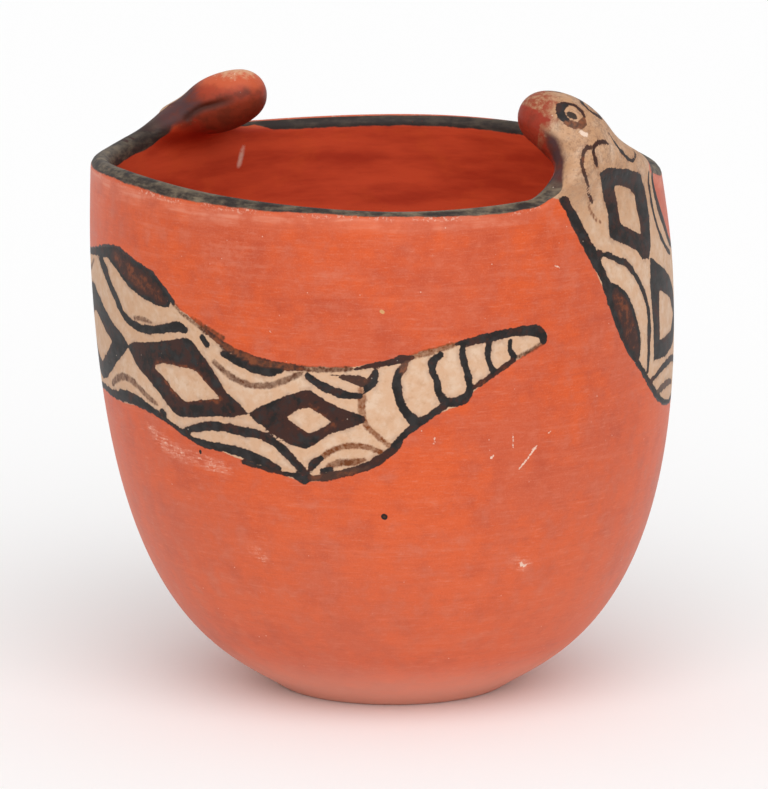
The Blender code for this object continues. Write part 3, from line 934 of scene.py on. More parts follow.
# On the heads: (across, along from the plain rim's height, above the middle, half the stroke's width)
headStrokes = {
    "eyeBelow": {
        "path": [
            (-7.1, 158.2, 2.7, 0.8), (-7.3, 157.2, 2.5, 0.85), (-7.1, 156.1, 3, 0.9),
            (-6.5, 155.2, 3.8, 0.9), (-5.5, 155.2, 4.7, 0.8), (-4.4, 155.6, 5.3, 0.5),
        ],
        "tone": 0.8,
        "thin": 0.22,
    },
    "eyeFront": {
        "path": [
            (-4, 159.8, 5.5, 0.6), (-5, 160.3, 4.8, 0.9), (-5.9, 160.2, 3.9, 1), (-6.6, 159.6, 3.2, 1),
            (-7, 158.6, 2.8, 0.9), (-7.1, 157.8, 2.7, 0.8),
        ],
        "tone": 0.1,
    },
    "eyeAbove": {
        "path": [
            (-4.1, 160.3, 5.4, 0.5), (-3.4, 159.3, 5.9, 0.5), (-3, 158.3, 6.1, 0.55),
            (-3.1, 157.3, 6, 0.5), (-3.4, 156.5, 5.8, 0.45), (-3.9, 155.9, 5.6, 0.35),
        ],
        "tone": 0.35,
    },
    "pupil": {"path": [(-5.9, 158, 4.2, 0.85), (-5.7, 157.5, 4.4, 0.95)], "tone": 0.05, "thin": 0.1},
    "nostril": {
        "path": [(0.4, 163.9, 6.4, 0.3), (0.6, 163.3, 6.5, 0.4), (1.2, 162, 6.6, 0.35)],
        "tone": 0.1,
    },
    "farEye": {
        "path": [
            (1.8, 158, 6.8, 0.4), (0, 157.3, 6.8, 0.45), (-0.3, 156.2, 6.7, 0.5), (0.4, 155, 6.8, 0.55),
            (2.6, 153.9, 6.8, 0.6), (4.5, 154.6, 6.2, 0.6), (5.3, 155.8, 5.3, 0.7),
            (4.9, 157.6, 5.3, 0.7), (3.2, 158.5, 6.1, 0.5), (1.8, 158, 6.8, 0.4),
        ],
        "tone": 0.2,
    },
    "farPupil": {"path": [(2.9, 156.6, 6.7, 0.5), (3.4, 156.2, 6.6, 0.6)], "tone": 0.1, "thin": 0.1},
    "upperCurl": {
        "path": [
            (-0.6, 149.4, 6.2, 0.2), (-2.3, 150.1, 5.9, 0.42), (-4.2, 150.5, 5.4, 0.5),
            (-5.9, 150.5, 4.6, 0.55), (-7.1, 149.9, 4.1, 0.55), (-7.6, 148.8, 4, 0.55),
            (-7.4, 147.8, 4.1, 0.55), (-6.6, 146.4, 4.2, 0.45),
        ],
        "tone": 0.5,
    },
    "lowerCurl": {
        "path": [
            (-7.5, 150.3, 3.7, 0.4), (-8.3, 150.7, 2.9, 0.45), (-9.3, 150.4, 2.1, 0.45),
            (-10, 149.4, 1.9, 0.5), (-10.8, 147.6, 1.9, 0.5), (-10.6, 145.3, 2.6, 0.45),
            (-9.3, 142.7, 2.3, 0.42), (-7.9, 140.9, 1.6, 0.5), (-7.2, 140, 1.3, 0.3),
        ],
        "tone": 0.6,
        "thin": 0.08,
    },
    "curlTail": {
        "path": [
            (-7.5, 139.1, 0.8, 0.22), (-6.3, 137.9, 0.4, 0.35), (-5.1, 136.6, 0.1, 0.5),
            (-3.8, 134.2, 0, 0.42),
        ],
        "tone": 0.6,
    },
    "hook": {
        "path": [
            (2.1, 151.1, 6.6, 0.2), (3.8, 149, 6.6, 0.4), (6.9, 147.1, 6.1, 0.5),
            (10.2, 145.4, 5.1, 0.55), (12.9, 144.4, 4.3, 0.7), (15.3, 145.2, 4.6, 0.6),
            (17.6, 146.6, 4.6, 0.35),
        ],
        "tone": 0.15,
    },
}
headChip = [(-7.4, 153.9, 3.1, 0.65), (-6.9, 153.1, 3.6, 0.6)]
# Where the cream and the dark band end on the heads' sides: (along, from the lip)
headEdges = {
    "cream": [
        (137.5, 9.5), (139.8, 7), (141.8, 5), (144.5, 2.6), (148.5, -1.2), (152.6, -2.5), (154.8, -1.6),
        (157.9, -0.5), (159.9, -0.8), (162.8, -1.2),
    ],
    "band": [(137.5, -5), (146, -8.5), (152.5, -10.8), (159, -7.2), (162, -3.4), (165, -2)],
    "backCream": [(137.5, 5), (141, 14), (146, 20), (156, 24)],
    "backBand": [
        (137.5, -5), (140, -5.2), (143.9, -3.1), (146, -3.3), (149.2, -3), (151.6, -2.2), (153.2, 0.5),
        (156, 3), (160, 9), (163, 16),
    ],
}
nose = {"tip": 161.1, "lean": 0.31, "half": 7.5, "backTip": 155}
mouth = {
    "upper": [
        (160.9, 0.9), (161.4, 1.3), (162.7, 1.3), (163.3, 1.8), (164.2, 2.4), (166.3, 3), (168.8, 3.2),
    ],
    "lower": [(161, 1), (162.2, 0.1), (163.5, -0.8), (163.8, -9)],
}
# The painted rim: the angle round the jar, where the dark paint ends outside and where it ends inside
rimPaint = [
    (-180, 3.2, -5.2), (-155, 3.4, -5), (-135, 4, -5), (-112, 3.2, -5), (-98, 2.4, -5), (-80, 2.6, -5),
    (-68, 3.4, -5), (-56, 5.6, -5), (-40, 6, -5), (-10, 5, -4.6), (20, 3, -4.4), (50, 1, -4.4),
    (66, -0.4, -4.4), (85, -0.9, -4.2), (114, -1, -4.6), (118.5, -0.6, -2.4), (123, 1.5, -3.5),
    (136, 4, -5.2), (165, 3.6, -6),
]
# Marks of use: (round from the front head, high) and half a width
paleMarks = [
    [(210, 69.8, 0.2), (212.4, 72.4, 0.3), (214.7, 75.1, 0.38)], [(202, 73.4, 0.3), (202.6, 73.9, 0.3)],
    [(187, 77.6, 0.12), (187.2, 80.3, 0.15)], [(208, 75.2, 0.1), (208, 79.2, 0.1)],
    [(218.2, 78.1, 0.15), (219.2, 78.8, 0.15)], [(136.2, 47.4, 0.35), (137.4, 46.4, 0.4)],
    [(212.6, 44.2, 0.5), (214.8, 43.6, 0.6)], [(222, 120.7, 0.2), (223.2, 120.2, 0.15)],
    [(149.1, 110.1, 0.3), (149.3, 109.9, 0.3)], [(146.8, 105.6, 0.2), (146.8, 105.2, 0.2)],
]
scuffs = [
    [(103.5, 75.5, 0.8), (107, 73.2, 1.3), (112, 71.3, 1.5), (117, 70.2, 1)],
    [(119, 70.5, 0.8), (124, 69.6, 1.2), (131, 68.6, 0.8)], [(135, 48, 0.8), (138, 45.6, 1)],
    [(211, 44.8, 0.9), (215, 43.4, 1.1)], [(236, 121.5, 1), (238, 118, 1.2)],
]
nicks = [
    [(173.6, 58.9, 0.72), (173.8, 58.8, 0.72)], [(122.6, 72.3, 0.4), (122.6, 71.9, 0.35)],
    [(16.2, 83.6, 0.2), (17.4, 82.8, 0.15)],
]
tanPits = [[(175.2, 112.1, 0.45), (175.5, 111.9, 0.45)]]
# a soft pale streak on the inner wall
innerPaleStreak = [(-19.3, 131, 0.25), (-18.6, 129.2, 0.6), (-17.6, 126.2, 0.5)]
creases = {
    "underHead": [
        (9, 148, -1.1), (8.5, 150, -0.6), (8.2, 153, 0.1), (7.9, 156.6, 0), (6.6, 161.7, -0.2),
        (5.2, 164, 0.2), (4.6, 166.5, 0.6),
    ],
    "depth": 0.6,
    "reach": 0.8,
}


# A smooth line through the points of a brush stroke, with a hand's small changes of width
def brushLine(path, seed):
    points = np.array(path, float)
    if len(points) > 2:
        ends = np.concatenate([[2 * points[0] - points[1]], points, [2 * points[-1] - points[-2]]])
        line = []
        for a, b, c, d in zip(ends[:-3], ends[1:-2], ends[2:-1], ends[3:]):
            pieces = max(1, round(np.linalg.norm((c - b)[:-1]) / painting["curveStep"]))
            for t in np.arange(pieces) / pieces:
                line.append(curveBetween(a, b, c, d, t))
        points = np.array([*line, points[-1]])
    run = runningLength(points[:, :-1])
    waves = np.sin(run * 2 * math.pi / painting["wobbleLength"] + seed) + np.sin(run * 1.7 + 2.3 * seed)
    points[:, -1] *= 1 + painting["wobble"] * waves / 2
    return points


# How deep places lie inside a brush stroke; outside it is below zero
def depthInStroke(places, line):
    depth = np.full(len(places), painting["nothing"])
    reach = line[:, -1].max() - painting["nothing"]
    low, high = line[:, :-1].min(axis=0) - reach, line[:, :-1].max(axis=0) + reach
    mine = np.nonzero(((places > low) & (places < high)).all(axis=1))[0]
    nearby = places[mine]
    best = depth[mine]
    for a, b in zip(line[:-1], line[1:]):
        way = b[:-1] - a[:-1]
        along = np.clip((nearby - a[:-1]) @ way / max(way @ way, 1e-9), 0.0, 1.0)
        away = np.linalg.norm(nearby - a[:-1] - along[:, None] * way, axis=1)
        best = np.maximum(best, a[-1] + along * (b[-1] - a[-1]) - away)
    depth[mine] = best
    return depth


def depthInShape(places, corners):
    corners = np.array(corners, float)
    inside = np.zeros(len(places), bool)
    nearest = np.full(len(places), -painting["nothing"])
    x, y = places[:, 0], places[:, 1]
    for a, b in zip(corners, np.roll(corners, -1, axis=0)):
        way = b - a
        along = np.clip((places[:, :2] - a) @ way / (way @ way), 0.0, 1.0)
        nearest = np.minimum(nearest, np.linalg.norm(places[:, :2] - a - along[:, None] * way, axis=1))
        if a[1] != b[1]:
            crossed = ((a[1] > y) != (b[1] > y)) & (x < a[0] + (y - a[1]) * way[0] / way[1])
            inside ^= crossed
    return np.where(inside, nearest, -nearest)


depthFields = ("cream", "ink", "faint", "pale", "scuff", "nick", "tan", "crease", "nose", "mouth")
shareFields = ("inkTone", "inkThin", "faintTone", "faintThin", "bandFade", "onFace")


# The painting's fields at each point: how deep it lies in each kind of paint, in millimetres
def paintFields(points, fromLip):
    around, high, lift = paintPlaces(points)
    nothing = painting["nothing"]
    count = len(points)
    fields = {name: np.full(count, nothing) for name in depthFields}
    fields |= {name: np.zeros(count) for name in shareFields}
    angle = np.degrees(np.arctan2(points[:, 1], points[:, 0]))
    rimAngles, *rimLimits = zip(*rimPaint)
    outer, inner = (np.interp(angle, rimAngles, limit, period=360) for limit in rimLimits)
    onFace = fields["onFace"]
    for turn, snake in enumerate(bothSnakes):
        root = math.radians(snake["rootAngle"]) * jar["bodyRadius"]
        across = (around - root + painting["behindHead"]) % perTurn - painting["behindHead"]
        stretch = frontHead["length"] / snake["length"]
        along = np.where(high > rimHeight, rimHeight + (high - rimHeight) * stretch, high)
        onWall = smoothStep((rimHeight - along) / painting["shiftBlend"])
        across = across - painting["shift"][0] * onWall
        along = along - painting["shift"][1] * onWall
        close = (across > painting["headZone"][0]) & (across < painting["headZone"][1])
        close &= points[:, 2] > rimHeight - 4
        onOutside = (fromLip > -painting["overLip"]) & (across < painting["tailEnd"])
        mine = np.nonzero(onOutside | close)[0]
        places = np.column_stack([across, along, lift])[mine]
        outside = fromLip[mine] + 1.0

        def keep(name, depth, **extra):
            deeper = depth > fields[name][mine]
            fields[name][mine[deeper]] = depth[deeper]
            for other, value in extra.items():
                fields[other][mine[deeper]] = np.broadcast_to(value, len(mine))[deeper]

        body = [*reversed(upperEdge), (27, 141), (30, 145), (26, 180), (-26, 180), (-26, 141), *lowerEdge]
        cream = depthInShape(places, body)
        onHead = smoothStep((places[:, 1] - rimHeight) / painting["slipBlend"])
        lipWay = fromLip[mine]
        seenBack = smoothStep((places[:, 0] - painting["farFrom"]) / painting["farBlend"])
        seenBack = seenBack * (snake is backHead)
        edges = {name: np.interp(places[:, 1], *np.array(edge).T) for name, edge in headEdges.items()}
        creamEdge = (1 - seenBack) * edges["cream"] + seenBack * edges["backCream"]
        bandEdge = (1 - seenBack) * edges["band"] + seenBack * edges["backBand"]
        tip = nose["tip"] + nose["lean"] * np.maximum(nose["half"] - np.abs(places[:, 0]), 0.0)
        tip = (1 - seenBack) * tip + seenBack * nose["backTip"]
        face = np.minimum(lipWay - creamEdge + 3.0, tip + 3.0 - places[:, 1])
        cream = np.minimum(cream, np.where(places[:, 1] > rimHeight, face, lipWay + 1))
        keep("cream", cream)
        keep("nose", np.where(places[:, 1] > rimHeight + 8, places[:, 1] - tip, nothing))
        lips = [np.interp(places[:, 1], *np.array(mouth[name]).T) for name in ("upper", "lower")]
        parted = np.minimum(lips[0] - places[:, 2], places[:, 2] - lips[1])
        onSnout = (places[:, 1] > mouth["upper"][0][0]) & (lipWay < painting["mouthSide"]) & (seenBack < 0.1)
        keep("mouth", np.where(onSnout, parted, nothing))
        besideHead = np.abs(places[:, 0]) < painting["besideHead"]
        fading = smoothStep((places[:, 1] - painting["bandFadeFrom"]) / painting["bandFadeReach"])
        fields["bandFade"][mine] += besideHead * seenBack * fading
        onFlank = onHead * besideHead
        outer[mine] = (1 - onFlank) * outer[mine] + onFlank * creamEdge
        inner[mine] = (1 - onFlank) * inner[mine] + onFlank * bandEdge
        ahead = smoothStep((places[:, 1] - rimHeight) / painting["faceBlend"]) * besideHead
        onFace[mine] = np.maximum(onFace[mine], ahead)
        for shape in diamonds.values():
            within = -depthInShape(places, shape["inner"])
            ring = np.minimum(depthInShape(places, shape["outer"]), within)
            glow = shape["glow"] * (1 - smoothStep(within / painting["glowReach"]))
            keep("ink", np.minimum(ring, outside), inkTone=shape["tone"] + glow, inkThin=0.0)
        for shape in patches.values():
            filled = depthInShape(places, shape["shape"])
            tone = shape["tone"] * smoothStep((filled - 0.4) / 1.6)
            keep("ink", np.minimum(filled, outside), inkTone=tone, inkThin=0.0)
        for name, group, apart in (("ink", strokes, 7), ("faint", faintStrokes, 5)):
            for order, stroke in enumerate(group.values()):
                depth = depthInStroke(places[:, :2], brushLine(stroke["path"], order + apart * turn))
                extra = {name + "Tone": stroke.get("tone", 0.0), name + "Thin": stroke.get("thin", 0.0)}
                keep(name, np.minimum(depth, outside), **extra)
        for order, stroke in enumerate(headStrokes.values()):
            depth = depthInStroke(places, brushLine(stroke["path"], order))
            depth = np.where(seenBack > 0.1, nothing, depth)
            keep("ink", depth, inkTone=stroke["tone"], inkThin=stroke.get("thin", 0.0))
        crease = [(*point, painting["creaseWidth"]) for point in creases["underHead"]]
        keep("crease", depthInStroke(places, brushLine(crease, 0)))
        if snake is frontHead:
            keep("pale", depthInStroke(places, brushLine(headChip, 3)))
        if snake is backHead:
            for name, group in (("pale", paleMarks), ("scuff", scuffs), ("nick", nicks), ("tan", tanPits)):
                for mark in group:
                    keep(name, np.minimum(depthInStroke(places[:, :2], brushLine(mark, 1)), outside))
            within = np.nonzero(fromLip < painting["insideFrom"])[0]
            paleStreak = depthInStroke(np.column_stack([across, high])[within], brushLine(innerPaleStreak, 2))
            fields["pale"][within] = np.maximum(fields["pale"][within], paleStreak)
    fields["rim"] = np.minimum(outer - fromLip, fromLip - inner)
    fields["beyondRim"] = fromLip - outer
    return fields


mesh = makeClay()
lipLayer = mesh.verts.layers.float["fromLip"]


def wayFromLip():
    return np.array([v[lipLayer] for v in mesh.verts])


# Closer faces where they are wanted; the new corners are moved onto the clay
def refine(limit, wanted):
    mesh.verts.index_update()
    tooLong = []
    for edge in mesh.edges:
        a, b = edge.verts
        if wanted[a.index] and wanted[b.index] and edge.calc_length() > limit:
            tooLong.append(edge)
    before = len(mesh.verts)
    bmesh.ops.subdivide_edges(mesh, edges=tooLong, cuts=1, use_grid_fill=True)
    mesh.verts.ensure_lookup_table()
    fresh = mesh.verts[before:]
    points = np.array([v.co for v in fresh])
    outside = np.array([v[lipLayer] for v in fresh]) > 0
    onRim = points[:, 2] > rimHeight - rimZone
    points[onRim] = ontoClay(points[onRim])
    onWall = outside & ~onRim & (points[:, 2] > jar["footEdge"] * 2)
    radius = np.interp(points[onWall, 2], wallCurve[:, 1], wallCurve[:, 0])
    points[onWall, :2] *= (radius / np.hypot(points[onWall, 0], points[onWall, 1]))[:, None]
    for corner, point in zip(fresh, points):
        corner.co = point


def onHeads():
    return coordinates(mesh)[:, 2] > rimHeight + cut["headsFrom"]


markFields = ("pale", "nick", "tan")
edgeFields = ("cream", "ink", "faint", "nose", "mouth", *markFields)


def nearPaintEdge(reach, edges=edgeFields):
    fields = paintFields(coordinates(mesh), wayFromLip())
    return np.min([np.abs(fields[name]) for name in edges], axis=0) < reach


for again in range(2):
    refine(cut["headEdge"], onHeads())
print("heads refined:", len(mesh.faces), "faces")
refine(cut["paintEdge"], nearPaintEdge(cut["paintNear"]))
for near in cut["eyeNear"]:
    refine(cut["eyeEdge"], nearPaintEdge(near) & onHeads())
for near in cut["markNear"]:
    refine(cut["markEdge"], nearPaintEdge(near, markFields) & (wayFromLip() > 0))
print("painting refined:", len(mesh.faces), "faces")
middleShift = placed(coordinates(mesh))
middleShift = (middleShift.min(axis=0) + middleShift.max(axis=0)) / 2 * (1.0, 1.0, 0.0)


def finishClay():
    points = coordinates(mesh)
    lipWay = wayFromLip()
    fields = paintFields(points, lipWay)
    print("painting laid out")
    pressed = fields["crease"] > painting["creaseNear"]
    far = painting["creaseWidth"] - fields["crease"][pressed]
    press = creases["depth"] * np.exp(-((far / creases["reach"]) ** 2))
    points[pressed] -= claySlope(points[pressed]) * press[:, None]
    shifted = placed(points) - middleShift
    for corner, point in zip(mesh.verts, shifted):
        corner.co = point * 0.001
    data = bpy.data.meshes.new("clay_jar")
    mesh.to_mesh(data)
    data.shade_smooth()
    for name, values in fields.items():
        layer = data.attributes.new(name, "FLOAT", "POINT")
        layer.data.foreach_set("value", values.astype(np.float32))
    made = bpy.data.objects.new("clay_jar", data)
    bpy.context.scene.collection.objects.link(made)
    data.calc_loop_triangles()
    print("clay jar:", len(data.loop_triangles), "triangles")
    return made


clayJar = finishClay()


# A value in a material, so that patterns can be written as sums
class Pigment:
    def __init__(self, tree, socket=None):
        self.tree = tree
        self.socket = socket

    def node(self, kind, settings=None, sockets=None, output=0):
        made = self.tree.nodes.new(kind)
        for name, value in (settings or {}).items():
            setattr(made, name, value)
        for name, value in (sockets or {}).items():
            if isinstance(value, Pigment):
                self.tree.links.new(value.socket, made.inputs[name])
            else:
                made.inputs[name].default_value = value
        return Pigment(self.tree, made.outputs[output])

    def maths(self, operation, *values):
        return self.node("ShaderNodeMath", {"operation": operation}, dict(enumerate(values)))

    def __add__(self, other):
        return self.maths("ADD", self, other)

    def __radd__(self, other):
        return self.maths("ADD", other, self)

    def __sub__(self, other):
        return self.maths("SUBTRACT", self, other)

    def __rsub__(self, other):
        return self.maths("SUBTRACT", other, self)

    def __mul__(self, other):
        return self.maths("MULTIPLY", self, other)

    def __rmul__(self, other):
        return self.maths("MULTIPLY", other, self)

    # from 0 at low to 1 at high, eased
    def eased(self, low, high):
        limits = {"Value": self, "From Min": low, "From Max": high}
        return self.node("ShaderNodeMapRange", {"interpolation_type": "SMOOTHSTEP"}, limits)

    # the first colour where the share is 0 and the second where it is 1
    def mixed(self, first, second, share):
        return self.node("ShaderNodeMix", {"data_type": "RGBA"}, {0: share, 6: first, 7: second}, output=2)

    # covered by another value, or by the colour of that name
    def covered(self, colour, share):
        return self.mixed(self, clayPaint.get(colour, colour), share)

    def attribute(self, name):
        return self.node("ShaderNodeAttribute", {"attribute_name": name}, output="Fac")

    # the object's own places in millimetres, stretched and turned
    def places(self, stretch=(1.0, 1.0, 1.0), turn=(0.0, 0.0, 0.0)):
        scale = tuple(1000.0 * s for s in stretch)
        rotation = tuple(math.radians(angle) for angle in turn)
        coords = self.node("ShaderNodeTexCoord", output="Object")
        return self.node("ShaderNodeMapping", {}, {"Vector": coords, "Scale": scale, "Rotation": rotation})

    def clouds(self, places, size, detail=3.0, roughness=0.5):
        values = {"Vector": places, "Scale": 1.0 / size, "Detail": detail, "Roughness": roughness}
        return self.node("ShaderNodeTexNoise", {}, values)

    def specks(self, places, scale, edge):
        values = {"Vector": places, "Scale": scale}
        return 1 - self.node("ShaderNodeTexVoronoi", {}, values, output="Distance").eased(0.03, edge)

    def part(self, axis):
        return self.node("ShaderNodeSeparateXYZ", {}, {0: self}, output=axis)


# A colour as it is seen on a screen, 0 to 255, made a shader's
def seen(red, green, blue):
    shares = [c / 255 for c in (red, green, blue)]
    return (*[c / 12.92 if c < 0.04 else ((c + 0.055) / 1.055) ** 2.4 for c in shares], 1.0)


clayPaint = {
    "red": seen(194, 83, 48),
    "brightRed": seen(208, 84, 34),
    "paleRed": seen(216, 138, 112),
    "deepRed": seen(166, 60, 34),
    "footFloorLight": seen(238, 172, 150),
    "insideRed": seen(204, 74, 40),
    "insideDark": seen(170, 50, 24),
    "cream": seen(204, 164, 132),
    "creamShade": seen(176, 130, 92),
    "creamPale": seen(212, 182, 156),
    "ink": seen(24, 19, 17),
    "inkSheenGrey": seen(50, 47, 47),
    "inkBrown": seen(58, 28, 19),
    "inkAmber": seen(118, 58, 26),
    "faintBrown": seen(84, 42, 16),
    "faintAmber": seen(118, 58, 8),
    "rimDark": seen(44, 36, 33),
    "rimBrown": seen(78, 48, 48),
    "rimWorn": seen(134, 118, 97),
    "noseBrown": seen(146, 68, 42),
    "noseTan": seen(176, 134, 100),
    "chinRed": seen(150, 45, 26),
    "chinBrown": seen(104, 42, 24),
    "snoutHighlight": seen(198, 90, 54),
    "snoutTan": seen(214, 168, 130),
    "chip": seen(236, 212, 192),
    "pit": seen(200, 146, 96),
    "streakRise": 4.0,
}


def paintedClay():
    material = bpy.data.materials.new("painted_clay")
    material.use_nodes = True
    tree = material.node_tree
    shader = tree.nodes["Principled BSDF"]
    shader.inputs["Specular IOR Level"].default_value = 0.25
    slip = Pigment(tree)
    paint = clayPaint
    field = {name: slip.attribute(name) for name in paintNames}
    plain = slip.places()
    wiped = slip.places((0.08, 0.08, 1.0), (paint["streakRise"], -2.0, 0.0))
    brushed = slip.places((0.16, 0.16, 1.0), (-5.0, 5.0, 0.0))
    height = plain.part(2)
    broad = slip.clouds(plain, 40.0, 2.0)
    blotches = slip.clouds(plain, 9.0, 4.0, 0.6)
    wash = slip.clouds(plain, 5.0, 3.0, 0.6)
    smear = slip.clouds(plain, 3.2, 3.0, 0.6)
    mottle = slip.clouds(plain, 1.5, 4.0, 0.65)
    rough = slip.clouds(plain, 0.8, 3.0, 0.6)
    grain = slip.clouds(plain, 0.4, 3.0, 0.7)
    streaks = slip.clouds(wiped, 1.7, 4.0, 0.65)
    scratches = slip.clouds(brushed, 0.5, 3.0, 0.6)
    inside = 1 - field["fromLip"].eased(-4.5, -2.5)
    onFace = field["onFace"]

    # the red slip outside: mottled, burnished in level strokes, scuffed here and there
    red = slip.mixed(paint["red"], paint["brightRed"], (broad * 0.6 + wash * 0.4).eased(0.4, 0.6))
    red = red.covered("deepRed", blotches.eased(0.44, 0.78) * 0.45)
    red = red.covered("paleRed", (1 - wash.eased(0.24, 0.5)) * 0.15)
    red = red.covered("paleRed", streaks.eased(0.48, 0.85) * 0.22)
    red = red.covered("deepRed", (1 - streaks.eased(0.2, 0.48)) * 0.3)
    red = red.covered("paleRed", scratches.eased(0.54, 0.8) * 0.3)
    red = red.covered("deepRed", (1 - scratches.eased(0.24, 0.46)) * 0.3)
    red = red.covered("paleRed", grain.eased(0.5, 0.75) * 0.2)
    red = red.covered("deepRed", (1 - grain.eased(0.25, 0.5)) * 0.2)
    # paler towards the bottom: painted reflection of the pale floor
    red = red.covered("paleRed", (1 - height.eased(10.0, 95.0)) * 0.18)
    scuffed = slip.clouds(plain, 17.0, 2.0).eased(0.5, 0.7) * height.eased(70.0, 125.0)
    red = red.covered("paleRed", scuffed * (streaks * 0.5 + mottle * 0.5).eased(0.42, 0.62) * 0.22)
    # painted light: the foot turns pale pink, standing in for light thrown up from the pale floor
    red = red.covered("footFloorLight", (1 - height.eased(-1.0, 18.0)) * 0.75)
    beyondRim = field["beyondRim"]
    # a pale band just below the rim: painted highlight of the light, with some wear
    sheenAndWearUnderRim = beyondRim.eased(0.2, 1.2) * (1 - beyondRim.eased(1.6, 6.0))
    red = red.covered("paleRed", sheenAndWearUnderRim * (0.25 + streaks.eased(0.4, 0.65) * 0.5) * wash.eased(0.3, 0.6))
    bared = beyondRim.eased(-0.4, 0.3) * (1 - beyondRim.eased(0.6, 1.8)) * (1 - onFace.eased(0.0, 0.1))
    red = red.covered("chip", bared * rough.eased(0.5, 0.66) * blotches.eased(0.42, 0.6) * 0.42)
    scuff = field["scuff"].eased(-1.6, 0.6)
    red = red.covered("paleRed", scuff * (scratches * 0.6 + mottle * 0.4).eased(0.4, 0.6) * 0.7)
    red = red.covered("chip", scuff * (scratches * 0.4 + rough * 0.6).eased(0.52, 0.68) * 0.5)

    # the inside, wiped with a wet hand
    hand = slip.clouds(slip.places((0.22, 0.22, 1.0), (7.0, 0.0, 0.0)), 7.0, 4.0, 0.55)
    within = slip.mixed(paint["insideRed"], paint["insideDark"], hand.eased(0.38, 0.72))
    within = within.covered("brightRed", blotches.eased(0.5, 0.8) * 0.35)
    within = within.covered("insideDark", streaks.eased(0.5, 0.8) * 0.3)
    colour = red.covered(within, inside)

    # heads: brown mottled nose, red mouth and chin
    colour = colour.covered("chinRed", onFace.eased(0.1, 0.8) * 0.85)
    colour = colour.covered("chinBrown", onFace.eased(0.1, 0.9) * smear.eased(0.34, 0.64) * 0.75)
    colour = colour.covered("noseTan", onFace * (rough * 0.5 + mottle * 0.5).eased(0.56, 0.66) * 0.2)

    # cream slip, thin and stained in places
    cream = slip.mixed(paint["cream"], paint["creamPale"], smear.eased(0.35, 0.7))
    cream = cream.covered("creamShade", mottle.eased(0.48, 0.78) * 0.45)
    cream = cream.covered("creamShade", broad.eased(0.4, 0.7) * 0.25)
    cream = cream.covered("creamShade", height.eased(108.0, 146.0) * wash.eased(0.25, 0.6) * 0.7)
    dirt = (rough * 0.4 + grain * 0.2 + smear * 0.4).eased(0.44, 0.66) * 0.42
    cream = cream.covered("faintBrown", height.eased(122.0, 148.0) * dirt)
    cream = cream.covered("faintAmber", field["ink"].eased(-1.5, 0.1) * smear.eased(0.4, 0.7) * 0.5)
    ragged = rough * 0.5 + smear * 0.9 - 0.7
    creamMask = (field["cream"] + ragged - 0.35).eased(-0.14, 0.14)
    colour = colour.covered(cream, creamMask)
    noseColour = slip.mixed(paint["noseBrown"], paint["chinRed"], smear.eased(0.42, 0.66) * 0.7)
    tanned = mottle.eased(0.38, 0.66) * (0.3 + 0.6 * height.eased(153.5, 158.5))
    noseColour = noseColour.covered("noseTan", tanned)
    noseMask = (field["nose"] + smear * 3.0 + rough * 1.5 - 2.25).eased(-1.6, 1.4)
    colour = colour.covered(noseColour, noseMask)
    mouthMask = (field["mouth"] + rough * 1.0 + smear * 0.8 - 0.9).eased(-0.25, 0.35)
    mouthRed = slip.mixed(paint["chinRed"], paint["chinBrown"], smear.eased(0.5, 0.75) * 0.5)
    colour = colour.covered(mouthRed, mouthMask * 0.92)

    # the other head's near side: red and brown, with painted shade low down and a painted orange highlight
    # along the top, worn to tan there
    backSnout = field["bandFade"].eased(0.15, 0.6)
    stain = (smear * 0.6 + wash * 0.4).eased(0.44, 0.6) * 0.7
    backRed = slip.mixed(paint["deepRed"], paint["chinBrown"], stain)
    colour = colour.covered(backRed, backSnout * 0.92)
    # painted shade: darker brown low on the head
    shadedLow = 1 - (height + smear * 5.0).eased(147.5, 152.0)
    colour = colour.covered("chinBrown", backSnout * shadedLow * 0.55)
    # painted highlight: orange along the top of the head, where the light falls
    colour = colour.covered("snoutHighlight", backSnout * (height + wash * 5.0).eased(151.2, 154.2) * 0.9)
    colour = colour.covered("snoutTan", backSnout * (height + mottle * 5.0).eased(154.7, 156.6) * 0.75)
    colour = colour.covered("chip", backSnout * height.eased(151.0, 153.5) * rough.eased(0.6, 0.7) * 0.5)

    # thin brown paint
    amber = field["faintTone"] + (wash - 0.5) * 1.2
    faintBrown = slip.mixed(paint["faintBrown"], paint["faintAmber"], amber)
    faintMask = (field["faint"] + rough * 0.9 - 0.45).eased(-0.25, 0.4)
    dry = (1 - 0.4 * field["faintThin"]) * (2.6 * (smear * 0.4 + mottle * 0.35 + rough * 0.25) - 0.4)
    colour = colour.covered(faintBrown, faintMask * dry)

    # the rim's dark band, streaked and worn
    rimDepth = field["rim"] + wash * 1.0 + rough * 0.3 - 0.65
    rimMask = rimDepth.eased(-0.2, 0.3 + 2.4 * onFace)
    slanted = slip.clouds(slip.places((0.25, 0.25, 1.1), (0.0, 14.0, 0.0)), 1.5, 4.0, 0.65)
    wearPatches = slip.clouds(plain, 8.0, 2.0)
    onTop = 1 - slip.maths("ABSOLUTE", field["fromLip"] + 0.4).eased(0.4, 2.2)
    farSide = plain.part(1).eased(-10.0, 45.0)
    wear = slanted * 0.6 + wearPatches * 0.35 + mottle * 0.2 + onTop * 0.05
    rim = slip.mixed(paint["rimDark"], paint["rimBrown"], onFace.eased(0.0, 0.6))
    worn = wear.eased(0.5, 0.78) * (1 - onFace.eased(0.0, 0.5)) * (1 - farSide * 0.7)
    rim = rim.covered("rimWorn", worn * 0.85)
    rim = rim.covered("chinBrown", onFace * smear.eased(0.4, 0.7) * 0.7)
    fade = field["bandFade"]
    rimShare = rimMask * (1 - (fade + fade * (smear - 0.5) * 2.0).eased(0.15, 0.9))
    colour = colour.covered(rim, rimShare)
